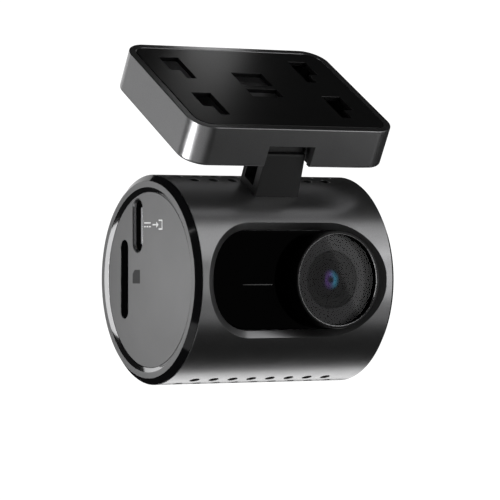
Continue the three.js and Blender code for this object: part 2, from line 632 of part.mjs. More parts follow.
function usbTongue() {
  const { y, z } = USB;
  const { halfLength, thick, set } = TONGUE;
  const span = [set - CAP_FACE, USB_BACK - USB_METAL.wall - CLEAR];
  return box(span, [y - thick / 2, y + thick / 2], [z - halfLength, z + halfLength]);
}

const SOCKET_FRONT = CLEAR - CAP_BACK;
function cardSocket() {
  const { y, halfLength, depth, wall, sheet } = CARD;
  const back = SOCKET_FRONT + depth;
  const cavity = CARD_BODY - sheet;
  return cut(
    box([SOCKET_FRONT, back], [y - CARD_BODY, y + CARD_BODY], [-halfLength - wall, halfLength + wall]),
    box([SOCKET_FRONT - THROUGH, back - wall], [y - cavity, y + cavity], [-halfLength, halfLength]),
  );
}

function cardCarriage() {
  const back = SOCKET_FRONT + CARD.depth - CARD.wall - CLEAR - CARRIAGE.travel;
  const { halfLength, halfWidth, depth } = CARRIAGE;
  return box([back - depth, back], [CARD.y - halfWidth, CARD.y + halfWidth], [-halfLength, halfLength]);
}

add(head, "usb_shell", usbShell(), "steel");
add(head, "usb_tongue", usbTongue(), "chip");
add(head, "card_socket", cardSocket(), "aluminium");
add(head, "card_carriage", cardCarriage(), "black_plastic");

// ---------------------------------------------------------------- button end
function functionButton() {
  const flangeBack = FLANGE_FRONT - BUTTON.flangeThick;
  const stemEnd = flangeBack - STEM.length;
  return turned("x", [
    [stemEnd, 0], [stemEnd, STEM.radius], [flangeBack, STEM.radius],
    [flangeBack, BUTTON.radius + BUTTON.flange], [FLANGE_FRONT, BUTTON.radius + BUTTON.flange],
    [FLANGE_FRONT, BUTTON.radius], [BUTTON_FACE, BUTTON.radius], [BUTTON_FACE, 0],
  ], [0, 0], 32);
}

function buttonSwitch() {
  const half = SWITCH.size / 2;
  const body = SWITCH_FRONT - SWITCH.plungerHeight;
  return join(
    box([body - SWITCH.thick, body], [-half, half], [-half, half]),
    rod("x", SWITCH.plunger, [body - SWITCH.thick / 2, SWITCH_FRONT], [0, 0], 16),
  );
}

const BUTTON_BOARD_FRONT = SWITCH_FRONT - SWITCH.plungerHeight - SWITCH.thick - CLEAR;
add(head, "function_button", functionButton(), "grey_plastic");
add(head, "button_switch", buttonSwitch(), "chip");
const BUTTON_BOARD_BACK = BUTTON_BOARD_FRONT - BUTTON_BOARD.thick;
const { y: boardAlong, halfHeight: boardHalf } = BUTTON_BOARD;
add(
  head, "button_board",
  box([BUTTON_BOARD_BACK, BUTTON_BOARD_FRONT], boardAlong, [-boardHalf, boardHalf]),
  "circuit_board",
);

// ---------------------------------------------------------------- window and lens
function frontWindow() {
  const outline = stadium(OPENING.halfLength - CLEAR, OPENING.halfHeight - CLEAR);
  const hole = rod("y", LENS_HOLE, [GLASS_FRONT - THROUGH, GLASS_BACK + THROUGH], [LENS_X, 0], 32);
  return cut(slab("y", outline, [GLASS_FRONT, GLASS_BACK], 16), hole);
}

function lensBezel() {
  const { rim, floor, shelf } = BEZEL;
  const shelfRadius = LENS_TUBE.radius + CLEAR + shelf;
  return turned("y", [
    [BEZEL_BACK, shelfRadius], [BEZEL_BACK, BEZEL_RADIUS],
    [LENS_RIM + rim, BEZEL_RADIUS], [LENS_RIM, BEZEL_RADIUS - rim], [LENS_RIM, BEZEL_BORE + rim],
    [LENS_RIM + rim, BEZEL_BORE], [BEZEL_BACK - floor, BEZEL_BORE], [BEZEL_BACK - floor, shelfRadius],
  ], [LENS_X, 0], 40);
}

function lensBaffle() {
  const from = BEZEL_BACK - BEZEL.floor - BAFFLE.gap - BAFFLE.thick;
  const bore = LENS_TUBE.radius + CLEAR;
  return tube("y", BEZEL_BORE - CLEAR, bore, [from, from + BAFFLE.thick], [LENS_X, 0], 40);
}

function lensBarrel() {
  const { radius, bore, stop } = LENS_TUBE;
  const seat = TUBE_FRONT + ELEMENT.thick + CLEAR;
  return turned("y", [
    [TUBE_FRONT, bore], [TUBE_FRONT, radius], [TUBE_BACK, radius], [TUBE_BACK, stop],
    [seat, stop], [seat, bore],
  ], [LENS_X, 0], 32);
}

// A lens element whose front face bulges by a crown.
function lensElement(radius, front, thick, crown) {
  const face = [];
  for (let step = 0; step <= 6; step += 1) {
    const r = (radius * step) / 6;
    face.push([front + crown * (r / radius) ** 2, r]);
  }
  return turned("y", [...face, [front + thick, radius], [front + thick, 0]], [LENS_X, 0], 32);
}

function coverGlass() {
  const front = LENS_RIM + COVER_GLASS.recess;
  return rod("y", BEZEL_BORE - CLEAR, [front, front + COVER_GLASS.thick], [LENS_X, 0], 40);
}

function frontElement() {
  return lensElement(LENS_TUBE.bore - CLEAR, TUBE_FRONT, ELEMENT.thick, ELEMENT.crown);
}

function rearElement() {
  const front = TUBE_BACK - ELEMENT.rearInset - ELEMENT.rear;
  return lensElement(LENS_TUBE.stop - CLEAR, front, ELEMENT.rear, ELEMENT.rearCrown);
}

function lensHolder() {
  const half = HOLDER.base / 2;
  const baseFront = HOLDER_BACK - HOLDER.baseThick;
  const bore = LENS_TUBE.radius + CLEAR;
  const front = GLASS_FRONT + 2 * CLEAR;
  return cut(
    join(
      rod("y", HOLDER_RADIUS, [front, HOLDER_BACK], [LENS_X, 0], 32),
      box([LENS_X - half, LENS_X + half], [baseFront, HOLDER_BACK], [-half, half]),
    ),
    rod("y", bore, [front - THROUGH, HOLDER_BACK + THROUGH], [LENS_X, 0], 32),
  );
}

// A box centred on the lens axis, from a front depth.
function behindLens(halfX, halfZ, front, thick) {
  return box([LENS_X - halfX, LENS_X + halfX], [front, front + thick], [-halfZ, halfZ]);
}

add(head, "front_window", frontWindow(), "window_glass");
add(head, "lens_bezel", lensBezel(), "black_plastic");
add(head, "lens_baffle", lensBaffle(), "grey_plastic");
add(head, "lens_cover_glass", coverGlass(), "clear_glass");
add(head, "lens_barrel", lensBarrel(), "black_plastic");
add(head, "front_element", frontElement(), "coated_glass");
add(head, "rear_element", rearElement(), "coated_glass");
add(head, "lens_holder", lensHolder(), "black_plastic");

const SENSOR_FRONT = HOLDER_BACK - SENSOR.thick;
const FILTER_FRONT = SENSOR_FRONT - 2 * CLEAR - FILTER.thick;
add(head, "infrared_filter", behindLens(FILTER.half, FILTER.half, FILTER_FRONT, FILTER.thick), "clear_glass");
add(head, "image_sensor", behindLens(SENSOR.halfX, SENSOR.halfZ, SENSOR_FRONT, SENSOR.thick), "chip");
add(
  head, "sensor_board",
  behindLens(SENSOR.boardHalf, SENSOR.boardHalf, SENSOR_BOARD_FRONT, SENSOR.boardThick),
  "circuit_board",
);

// The glowing bar behind the window, its lamp and the board that carries the lamp.
function statusLight() {
  const { length, x, z, thick, depth } = LIGHT;
  const around = (at, half) => [at - half, at + half];
  const guide = [GLASS_BACK + CLEAR, GLASS_BACK + CLEAR + depth];
  const lamp = [guide[1] + CLEAR, guide[1] + CLEAR + LED.thick];
  const board = [lamp[1] + CLEAR, lamp[1] + CLEAR + LED.boardThick];
  add(head, "light_guide", box(around(x, length / 2), guide, around(z, thick / 2)), "light");
  add(head, "status_led", box(around(x, LED.halfX), lamp, around(z, LED.halfZ)), "light");
  add(head, "light_board", box(around(x, LED.boardHalfX), board, around(z, LED.boardHalfZ)), "circuit_board");
}
statusLight();

// ---------------------------------------------------------------- inside the barrel
const POSTS_X = [USB_BACK + POSTS.gap + POSTS.radius, BOARD_HALF - POSTS.inset];
const POST_PLACES = POSTS_X.flatMap((x) => [-1, 1].map((side) => [x, side * (BOARD_HEIGHT - POSTS.below)]));

// A carrier across the barrel, with posts for the main board and lugs that reach the barrel's wall.
function innerFrame() {
  const { front, thick, recess } = FRAME;
  const recessFrom = BUTTON_BOARD_BACK - 3 * CLEAR;
  const postTop = BOARD.front - CLEAR;
  const lugEnd = FRAME_HALF - LUGS.inset;
  const lugs = [1, -1].flatMap((sx) =>
    [1, -1].map((sz) => {
      const across = [lugEnd - LUGS.width, lugEnd].map((x) => sx * x).sort((a, b) => a - b);
      const up = [FRAME_HEIGHT - LUGS.sink, FRAME_WALL - CLEAR].map((z) => sz * z).sort((a, b) => a - b);
      return box(across, [front, FRAME_BACK], up);
    }),
  );
  const posts = POST_PLACES.map((at) => rod("y", POSTS.radius, [front + thick / 2, postTop], at));
  const pilots = POST_PLACES.map((at) =>
    rod("y", SCREW.radius + CLEAR, [FRAME_BACK + BOARD_SCREW.blind, postTop + THROUGH], at),
  );
  const sheet = box([-FRAME_HALF, FRAME_HALF], [front, FRAME_BACK], [-FRAME_HEIGHT, FRAME_HEIGHT]);
  return cut(
    join(sheet, ...lugs, ...posts),
    box([recessFrom, FRAME_HALF + THROUGH], [front - THROUGH, FRAME_BACK + THROUGH], [-recess, recess]),
    ...pilots,
  );
}

function mainBoard() {
  const { front } = BOARD;
  const holes = POST_PLACES.map((at) =>
    rod("y", SCREW.radius + CLEAR, [front - THROUGH, BOARD_BACK + THROUGH], at),
  );
  return cut(box([-BOARD_HALF, BOARD_HALF], [front, BOARD_BACK], [-BOARD_HEIGHT, BOARD_HEIGHT]), ...holes);
}

const CHIP_BACK = BOARD.front - CLEAR;
const CHIP_FRONT = CHIP_BACK - PROCESSOR.thick;
const PAD_FRONT = CHIP_FRONT - CLEAR - PAD_THICK;
const SINK_BACK = PAD_FRONT - CLEAR;

function heatSink() {
  const { x, halfHeight, thick } = HEAT_SINK;
  const front = SINK_BACK - thick;
  const up = [-halfHeight, halfHeight];
  const edge = (x[1] - x[0] - (FINS.count - 1) * FINS.pitch - FINS.thick) / 2;
  const fins = [];
  for (let i = 0; i < FINS.count; i += 1) {
    const left = x[0] + edge + i * FINS.pitch;
    fins.push(box([left, left + FINS.thick], [front - FINS.height, front + thick / 2], up));
  }
  return join(box(x, [front, SINK_BACK], up), ...fins);
}

// The bent ribbon between the sensor board and the main board.
function sensorFlex() {
  const { fromLens, thick, below, start, bend, tail } = FLEX;
  const from = SENSOR_BOARD_FRONT + SENSOR.boardThick + CLEAR;
  const low = -FRAME_HEIGHT - below;
  const end = BOARD.front - CLEAR - thick;
  const path = [
    [from, start], [from, low + bend], [from + bend, low],
    [end - bend, low], [end, low + bend], [end, low + tail],
  ];
  return slab("x", ribbon(path, thick), fromLens.map((x) => LENS_X + x));
}

add(head, "inner_frame", innerFrame(), "black_plastic");
add(head, "main_board", mainBoard(), "circuit_board");
POST_PLACES.forEach((at, index) => {
  const headAt = BOARD_BACK + CLEAR + SCREW.headThick;
  add(head, `board_screw_${index + 1}`, screw("y", at, headAt, -1, BOARD_SCREW.length), "steel");
});
const chipHeight = [-PROCESSOR.halfHeight, PROCESSOR.halfHeight];
add(head, "processor", box(PROCESSOR.x, [CHIP_FRONT, CHIP_BACK], chipHeight), "chip");
add(head, "memory_chip", box(MEMORY.x, [CHIP_BACK - MEMORY.thick, CHIP_BACK], MEMORY.z), "chip");
add(head, "thermal_pad", box(PROCESSOR.x, [PAD_FRONT, PAD_FRONT + PAD_THICK], chipHeight), "pad");
add(head, "heat_sink", heatSink(), "aluminium");
add(head, "sensor_flex", sensorFlex(), "flex");
CAPACITOR.x.forEach((x, index) => {
  const { radius, halfLength } = CAPACITOR;
  const at = [x, BOARD_BACK + CLEAR + radius];
  add(head, `supercapacitor_${index + 1}`, rod("z", radius, [-halfLength, halfLength], at), "sleeve");
});
const behindBoard = [BOARD_BACK + CLEAR, BOARD_BACK + CLEAR + WIFI.thick];
add(head, "wifi_module", box(WIFI.x, behindBoard, WIFI.z), "aluminium");
const speakerFloor = SPEAKER.gap - Math.sqrt(INSIDE ** 2 - (SPEAKER.radius - SPEAKER.y) ** 2);
const speakerSpan = [speakerFloor, speakerFloor + SPEAKER.thick];
add(head, "speaker", rod("z", SPEAKER.radius, speakerSpan, [SPEAKER.x, SPEAKER.y], 32), "black_plastic");
const microphoneAcross = [FRAME_HALF - MICROPHONE.length, FRAME_HALF];
const microphoneHeight = MICROPHONE.below.map((drop) => MIC.z - drop);
add(
  head, "microphone",
  box(microphoneAcross, [CHIP_BACK - MICROPHONE.thick, CHIP_BACK], microphoneHeight),
  "aluminium",
);

export default part;
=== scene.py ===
"""The look of a barrel-shaped dash camera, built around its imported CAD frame."""
import json
import math

import bmesh
import bpy
from mathutils import Matrix, Vector


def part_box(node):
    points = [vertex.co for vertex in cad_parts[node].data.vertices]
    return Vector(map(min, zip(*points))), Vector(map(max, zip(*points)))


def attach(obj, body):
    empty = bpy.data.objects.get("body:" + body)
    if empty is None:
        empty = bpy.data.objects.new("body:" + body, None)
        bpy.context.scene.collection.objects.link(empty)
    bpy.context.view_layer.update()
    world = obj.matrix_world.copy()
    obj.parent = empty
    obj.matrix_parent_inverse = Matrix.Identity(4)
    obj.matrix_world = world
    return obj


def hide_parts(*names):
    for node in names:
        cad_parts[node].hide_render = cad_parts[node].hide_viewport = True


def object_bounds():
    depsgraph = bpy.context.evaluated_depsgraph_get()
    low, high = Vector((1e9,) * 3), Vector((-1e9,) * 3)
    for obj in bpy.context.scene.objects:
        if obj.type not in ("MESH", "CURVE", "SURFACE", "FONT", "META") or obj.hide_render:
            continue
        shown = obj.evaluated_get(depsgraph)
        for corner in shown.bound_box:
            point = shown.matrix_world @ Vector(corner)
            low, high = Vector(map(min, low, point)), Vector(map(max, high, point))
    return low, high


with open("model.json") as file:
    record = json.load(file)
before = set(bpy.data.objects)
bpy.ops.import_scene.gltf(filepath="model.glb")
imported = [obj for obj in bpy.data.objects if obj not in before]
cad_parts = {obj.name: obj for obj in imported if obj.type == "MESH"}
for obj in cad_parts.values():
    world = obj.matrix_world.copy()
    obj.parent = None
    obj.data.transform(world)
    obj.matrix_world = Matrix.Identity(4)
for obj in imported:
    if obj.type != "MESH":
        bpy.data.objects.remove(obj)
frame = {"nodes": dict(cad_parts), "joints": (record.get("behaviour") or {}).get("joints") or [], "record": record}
cad_low, cad_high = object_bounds()

MM = 0.001  # shapes are written in millimetres, objects are in metres

# ---------------------------------------------------------------- places, from the frame
mount = frame["record"]["mounts"][0]
TILT = math.atan2(-mount["axis"][1], mount["axis"][2])
HINGE_AT = Vector(next(j for j in frame["joints"] if j["name"] == "tilt_hinge")["pos_m"])


def middle(node):
    low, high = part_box(node)
    return (low + high) / 2


def size(node):
    low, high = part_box(node)
    return (high - low) / MM


BARREL_AT = middle("barrel_housing")
PLATE = Matrix.Rotation(TILT, 4, "X")
HINGE = Matrix.Translation(HINGE_AT) @ PLATE
BARREL = Matrix.Translation(BARREL_AT)


def local(node):
    """A node's lowest and highest corner in millimetres from the barrel's middle."""
    low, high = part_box(node)
    return (low - BARREL_AT) / MM, (high - BARREL_AT) / MM


# ---------------------------------------------------------------- outlines, lists of (x, y)
def arc(centre, radius, start, end, steps):
    """Points along an arc, angles in degrees."""
    points = []
    for i in range(steps + 1):
        a = math.radians(start + (end - start) * i / steps)
        points.append((centre[0] + radius * math.cos(a), centre[1] + radius * math.sin(a)))
    return points


def rounded_rectangle(width, depth, radius, steps=16):
    x, y = width / 2 - radius, depth / 2 - radius
    corners = (((x, y), 0), ((-x, y), 90), ((-x, -y), 180), ((x, -y), 270))
    return [p for centre, start in corners for p in arc(centre, radius, start, start + 90, steps)]


def stadium(half_length, half_height, steps=48):
    """A slot with round ends, long in x."""
    reach = half_length - half_height
    return arc((reach, 0), half_height, -90, 90, steps) + arc((-reach, 0), half_height, 90, 270, steps)


def upright_stadium(half_length, half_width, centre, steps=24):
    """A slot with round ends, long in y."""
    reach = half_length - half_width
    top = arc((centre[0], centre[1] + reach), half_width, 0, 180, steps)
    bottom = arc((centre[0], centre[1] - reach), half_width, 180, 360, steps)
    return top + bottom


def circle(radius, steps=96, centre=(0, 0)):
    return arc(centre, radius, 0, 360 - 360 / steps, steps - 1)


def rectangle(x0, x1, y0, y1):
    return [(x0, y0), (x1, y0), (x1, y1), (x0, y1)]


def offset(outline, distance):
    """The outline moved outwards by a distance; its points run anticlockwise."""
    moved = []
    count = len(outline)
    for i, point in enumerate(outline):
        here = Vector(point)
        before = (here - Vector(outline[i - 1])).normalized()
        after = (Vector(outline[(i + 1) % count]) - here).normalized()
        normal = Vector((before.y + after.y, -before.x - after.x)).normalized()
        stretch = max(0.3, normal.dot(Vector((before.y, -before.x))))
        moved.append(tuple(here + normal * (distance / stretch)))
    return moved


def filleted(points, radius, steps=5):
    """A closed outline with each corner rounded; radius is one value or one for each corner."""
    radii = radius if isinstance(radius, (list, tuple)) else [radius] * len(points)
    result = []
    count = len(points)
    for i, (point, r) in enumerate(zip(points, radii)):
        here = Vector(point)
        to_before = Vector(points[i - 1]) - here
        to_after = Vector(points[(i + 1) % count]) - here
        if r <= 0 or to_before.length < 1e-9 or to_after.length < 1e-9:
            result.append(tuple(here))
            continue
        half = to_before.angle(to_after) / 2
        reach = min(r / math.tan(half), to_before.length * 0.49, to_after.length * 0.49)
        start = here + to_before.normalized() * reach
        end = here + to_after.normalized() * reach
        for k in range(steps + 1):
            t = k / steps
            curve = start * (1 - t) ** 2 + here * 2 * t * (1 - t) + end * t**2
            result.append(tuple(curve))
    return result


# ---------------------------------------------------------------- meshes
AXES = {
    "x": Matrix(((0, 0, 1, 0), (1, 0, 0, 0), (0, 1, 0, 0), (0, 0, 0, 1))),
    "y": Matrix(((1, 0, 0, 0), (0, 0, 1, 0), (0, 1, 0, 0), (0, 0, 0, 1))),
    "z": Matrix.Identity(4),
}


def new_object(name, bm, place=Matrix.Identity(4)):
    """An object from a bmesh in millimetres, carried to its place in metres."""
    bmesh.ops.recalc_face_normals(bm, faces=bm.faces)
    bm.transform(Matrix.Scale(MM, 4))
    bm.transform(place)
    mesh = bpy.data.meshes.new(name)
    bm.to_mesh(mesh)
    bm.free()
    piece = bpy.data.objects.new(name, mesh)
    bpy.context.scene.collection.objects.link(piece)
    return piece


def skin(rings, closed_ends=True, wrap=False):
    """A bmesh over rings of points with equal counts; a ring of one point is a tip."""
    bm = bmesh.new()
    loops = [[bm.verts.new(p) for p in ring] for ring in rings]
    pairs = list(zip(loops, loops[1:]))
    if wrap:
        pairs.append((loops[-1], loops[0]))
    for a, b in pairs:
        count = max(len(a), len(b))
        for i in range(count):
            j = (i + 1) % count
            corners = [a[i % len(a)], a[j % len(a)], b[j % len(b)], b[i % len(b)]]
            bm.faces.new(list(dict.fromkeys(corners)))
    if closed_ends and not wrap:
        for loop in (loops[0], loops[-1]):
            if len(loop) > 2:
                bm.faces.new(loop)
    return bm


def turn(axis, profile, centre=(0, 0), steps=128):
    """A closed profile of (along, radius) turned about an axis."""
    rings = []
    for along, radius in profile:
        if radius < 1e-6:
            rings.append([(centre[0], centre[1], along)])
        else:
            rings.append([(x, y, along) for x, y in circle(radius, steps, centre)])
    on_axis = len(rings[0]) == 1 and len(rings[-1]) == 1
    bm = skin(rings, closed_ends=False, wrap=not on_axis)
    bm.transform(AXES[axis])
    return bm


def slab(axis, outline, low, high, edge=0.0, steps=3):
    """An outline extruded along an axis, its two rims rounded by an edge radius."""
    rings = []
    for k in range(steps + 1):
        a = math.pi / 2 * k / steps
        inset = edge * (1 - math.sin(a))
        rings.append((low + edge * (1 - math.cos(a)), -inset))
        if edge == 0:
            break
    rings += [(low + high - z, inset) for z, inset in reversed(rings)]
    bm = skin([[(x, y, z) for x, y in offset(outline, grow)] for z, grow in rings])
    bm.transform(AXES[axis])
    return bm


def cutter(axis, outline, low, high, flare=0.0, run=0.4):
    """A prism that cuts from low to past high, its mouth at high opened by a flare."""
    towards = 1 if high > low else -1
    rings = [(low, 0), (high - towards * flare, 0)]
    if flare:
        rings.append((high - towards * flare * 0.35, flare * 0.35))
        rings.append((high, flare))
    rings.append((high + towards * run, flare + (run if flare else 0)))
    bm = skin([[(x, y, z) for x, y in offset(outline, grow)] for z, grow in rings])
    bm.transform(AXES[axis])
    return bm


def apply_modifiers(piece):
    """Makes what a piece's modifiers show its own mesh."""
    graph = bpy.context.evaluated_depsgraph_get()
    result = bpy.data.meshes.new_from_object(piece.evaluated_get(graph))
    piece.modifiers.clear()
    old = piece.data
    piece.data = result
    bpy.data.meshes.remove(old)


def combined(target, tool_meshes, operation, place):
    """target combined with the solids by a boolean operation, one after another."""
    for bm in tool_meshes:
        tool = new_object("tool", bm, place)
        step = target.modifiers.new("boolean", "BOOLEAN")
        step.operation = operation
        step.solver = "MANIFOLD"
        step.object = tool
        apply_modifiers(target)
        bpy.data.objects.remove(tool)
    return target


def cut(target, tools, place):
    return combined(target, tools, "DIFFERENCE", place)


def join(target, tools, place):
    return combined(target, tools, "UNION", place)


def merged(meshes):
    """Several bmeshes as one, for cutters that don't touch each other."""
    whole = bmesh.new()
    for bm in meshes:
        part = bpy.data.meshes.new("part")
        bm.to_mesh(part)
        bm.free()
        whole.from_mesh(part)
        bpy.data.meshes.remove(part)
    return whole


def as_tool(piece, place):
    """A piece's mesh in millimetres, to combine with another; the piece itself goes."""
    bm = bmesh.new()
    bm.from_mesh(piece.data)
    bm.transform(place.inverted())
    bm.transform(Matrix.Scale(1 / MM, 4))
    bpy.data.objects.remove(piece)
    return bm


def crease(piece, angle):
    """Smooth shading with creases past an angle in degrees."""
    piece.data.shade_smooth()
    piece.data.set_sharp_from_angle(angle=math.radians(angle))


def smooth(piece, angle=28):
    """Creased shading that keeps flat faces flat beside small roundings."""
    crease(piece, angle)
    weighted = piece.modifiers.new("normals", "WEIGHTED_NORMAL")
    weighted.keep_sharp = True
    weighted.weight = 100


def soften(piece, width, segments=2, angle=40):
    """Rounds a piece's sharp edges by a width in millimetres."""
    bevel = piece.modifiers.new("edges", "BEVEL")
    bevel.width = width * MM
    bevel.segments = segments
    bevel.limit_method = "ANGLE"
    bevel.angle_limit = math.radians(angle)
    bevel.use_clamp_overlap = True
    bevel.harden_normals = True


def finish_piece(piece, body, material, slot, *nodes):
    piece.data.materials.clear()
    for m in material if isinstance(material, (list, tuple)) else [material]:
        piece.data.materials.append(m)
    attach(piece, body)
    if nodes:
        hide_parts(*nodes)
    return piece


# ---------------------------------------------------------------- materials
class Nodes:
    """A material's node tree, with short calls for the nodes used here."""

    def __init__(self, name):
        self.material = bpy.data.materials.new(name)
        self.material.use_nodes = True
        self.tree = self.material.node_tree
        self.shader = self.tree.nodes["Principled BSDF"]
        self.place = self.tree.nodes.new("ShaderNodeTexCoord").outputs["Object"]

    def add(self, kind, **inputs):
        node = self.tree.nodes.new(kind)
        for key, value in inputs.items():
            self.put(node.inputs[key.replace("_", " ")], value)
        return node

    def put(self, socket, value):
        if isinstance(value, bpy.types.NodeSocket):
            self.tree.links.new(value, socket)
        else:
            socket.default_value = value

    def vector(self, operation, first, second=(0, 0, 0)):
        node = self.add("ShaderNodeVectorMath", Vector=first)
        node.operation = operation
        node.inputs[1].default_value = second
        return node

    def noise(self, grain, detail=3.0, stretch=(1, 1, 1)):
        """Noise with features of about a grain in millimetres."""
        scaled = self.vector("MULTIPLY", self.place, stretch).outputs["Vector"]
        node = self.add("ShaderNodeTexNoise", Vector=scaled, Scale=1 / (grain * MM), Detail=detail)
        return node.outputs["Fac"]

    def spread(self, value, low, high, start=0.3, end=0.7):
        """Low where the value is at its start, high at its end, and in proportion between."""
        node = self.add("ShaderNodeMapRange", Value=value)
        for name, number in zip(("From Min", "From Max", "To Min", "To Max"), (start, end, low, high)):
            node.inputs[name].default_value = number
        return node.outputs["Result"]

    def tint(self, value, dark, light):
        """A mix of two colours, each a tuple or another node's output."""
        node = self.tree.nodes.new("ShaderNodeMix")
        node.data_type = "RGBA"
        self.put(node.inputs["Factor"], value)
        for name, colour in (("A", dark), ("B", light)):
            self.put(node.inputs[name], (*colour, 1) if isinstance(colour, tuple) else colour)
        return node.outputs["Result"]

    def bump(self, height, strength, depth):
        """Relief with a depth in millimetres."""
        node = self.add("ShaderNodeBump", Strength=strength, Distance=depth * MM, Height=height)
        self.put(self.shader.inputs["Normal"], node.outputs["Normal"])

    def set(self, **inputs):
        for key, value in inputs.items():
            self.put(self.shader.inputs[key.replace("_", " ")], value)
        return self.material


DRIFT = 9.0  # size of the slow drift in colour, in millimetres
GRAIN_STRENGTH = 0.35
FLAKE = 0.09


def shade(colour, factor):
    return tuple(min(1.0, c * factor) for c in colour)


def surface(name, colour, roughness, grain=0.25, relief=0.002, vary=0.12, metallic=0.0, **extra):
    """A moulded or finished surface: fine grain in gloss and relief, slow drift in colour."""
    n = Nodes(name)
    fine = n.noise(grain, 2.0)
    slow = n.noise(DRIFT)
    base = n.tint(n.spread(slow, 0.0, 1.0), shade(colour, 1 - vary), shade(colour, 1 + vary))
    rough = n.spread(fine, roughness * (1 - vary), roughness * (1 + vary))
    if relief:
        n.bump(fine, GRAIN_STRENGTH, relief)
    return n.set(Base_Color=base, Roughness=rough, Metallic=metallic, **extra)


def metallic_paint(name, colour, roughness):
    """Satin paint with small bright flakes under a thin clear coat."""
    n = Nodes(name)
    flakes = n.add("ShaderNodeTexVoronoi", Vector=n.place, Scale=1 / (FLAKE * MM)).outputs["Distance"]
    peel = n.noise(0.8, 1.0)
    base = n.tint(n.spread(flakes, 1.0, 0.0, 0.1, 0.75), shade(colour, 0.9), shade(colour, 1.14))
    rough = n.spread(n.noise(3.0, 2.0), roughness * 0.95, roughness * 1.06)
    n.bump(peel, 0.12, 0.0012)
    return n.set(
        Base_Color=base, Roughness=rough, Metallic=0.9, Coat_Weight=0.12, Coat_Roughness=0.16, Coat_IOR=1.45
    )


def clear_glass(name, colour, roughness):
    """Glass that light passes through, faintly smeared."""
    n = Nodes(name)
    smear = n.spread(n.noise(6.0, 2.0), roughness, roughness * 2.2)
    return n.set(Base_Color=(*colour, 1), Roughness=smear, IOR=1.5, Transmission_Weight=1.0)


def brushed(name, colour, roughness, stretch):
    """Bare metal with fine lines; stretch squeezes them across each axis."""
    n = Nodes(name)
    lines = n.noise(0.12, 2.0, stretch)
    base = n.tint(n.spread(lines, 0.0, 1.0), shade(colour, 0.82), shade(colour, 1.1))
    n.bump(lines, 0.25, 0.002)
    rough = n.spread(lines, roughness * 0.8, roughness * 1.25)
    return n.set(Base_Color=base, Roughness=rough, Metallic=1.0)


PAINT = metallic_paint("gunmetal_paint", (0.30, 0.30, 0.305), 0.3)
POLISHED = surface(
    "polished_edge", (0.42, 0.42, 0.425), 0.1, grain=0.5, relief=0.0006, vary=0.06, metallic=1.0
)
GLOSS_BLACK = surface(
    "gloss_black_edge", (0.004, 0.004, 0.0045), 0.08, grain=0.6, relief=0.0008, vary=0.1, IOR=1.5
)
CAP_GREY = surface("cap_grey", (0.17, 0.17, 0.172), 0.42, grain=0.18, relief=0.003, vary=0.05)
RIM_GREY = surface("rim_grey", (0.16, 0.16, 0.162), 0.38, grain=0.18, vary=0.05)
BLACK = surface("black_plastic", (0.014, 0.014, 0.0145), 0.5, grain=0.16, relief=0.004)
GLOSSY_BEZEL = surface(
    "bezel_black", (0.002, 0.002, 0.0022), 0.2, grain=0.3, relief=0.001, vary=0.1, IOR=1.25
)
# Bright metal band on the bezel's inner edge: a painted highlight.
BEZEL_PAINTED_HIGHLIGHT = surface("bezel_painted_highlight", (0.5, 0.5, 0.505), 0.22, grain=0.3, relief=0.001, vary=0.06, metallic=1.0)
PANEL = surface("panel_satin", (0.013, 0.013, 0.0135), 0.34, grain=0.22, relief=0.003, vary=0.1)
WINDOW = surface("window_gloss", (0.0006, 0.0006, 0.0007), 0.03, grain=2.5, relief=0.0004, vary=0.2, IOR=1.07)
BAFFLE = surface("baffle_grey", (0.04, 0.04, 0.041), 0.14, grain=0.14, relief=0.0, vary=0.05, metallic=1.0)
# Near-black painted shadow for the insides of slots and sockets.
SHADOW_BLACK = surface("slot_painted_shadow", (0.002, 0.002, 0.0022), 0.7, grain=0.2, relief=0.003, vary=0.1, IOR=1.2)
TUBE_BLACK = surface("lens_tube_black", (0.0015, 0.0015, 0.0017), 0.45, grain=0.2, vary=0.1, IOR=1.2)
INK = surface("light_ink", (0.8, 0.8, 0.8), 0.5, grain=0.1, relief=0.001, vary=0.04)
DARK_INK = surface("dark_ink", (0.03, 0.03, 0.031), 0.5, grain=0.1, relief=0.001, vary=0.06)


def light_line(name, low, high):
    """A frosted bar that fades from one end to the other; low and high are its ends in x."""
    n = Nodes(name)
    across = n.add("ShaderNodeSeparateXYZ", Vector=n.place).outputs["X"]
    fade = n.spread(across, 0.1, 1.0, low, high)
    base = n.tint(fade, (0.01, 0.01, 0.01), (0.3, 0.3, 0.3))
    return n.set(Base_Color=base, Roughness=n.spread(n.noise(0.3), 0.3, 0.5))


guide_low, guide_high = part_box("light_guide")
LIGHT_LINE = light_line("light_line", guide_low.x, guide_high.x)
STEEL = brushed("steel", (0.6, 0.6, 0.61), 0.26, (1, 1, 12))
ALUMINIUM = brushed("aluminium", (0.72, 0.73, 0.74), 0.34, (14, 1, 1))
BRASS = brushed("contact_gold", (0.85, 0.62, 0.25), 0.25, (1, 10, 1))
TONGUE = surface("tongue_plastic", (0.32, 0.32, 0.33), 0.4, grain=0.1, vary=0.06)
COVER = surface(
    "cover_glass", (0.004, 0.004, 0.005), 0.03, grain=2.0, relief=0.0, vary=0.1, IOR=1.5, Alpha=0.25
)
COATED = clear_glass("coated_lens", (0.5, 0.42, 0.85), 0.015)
CHIP = surface("chip_epoxy", (0.02, 0.02, 0.021), 0.55, grain=0.08, relief=0.003, vary=0.1)
SLEEVE = surface("shrink_sleeve", (0.03, 0.05, 0.16), 0.35, grain=0.4, vary=0.1)
PAD = surface("thermal_pad", (0.4, 0.5, 0.55), 0.7, grain=0.3, relief=0.006, vary=0.06)
FLEX = surface("polyimide", (0.35, 0.16, 0.03), 0.3, grain=0.5, relief=0.001, vary=0.15)


TRACK_PITCH = 2.4


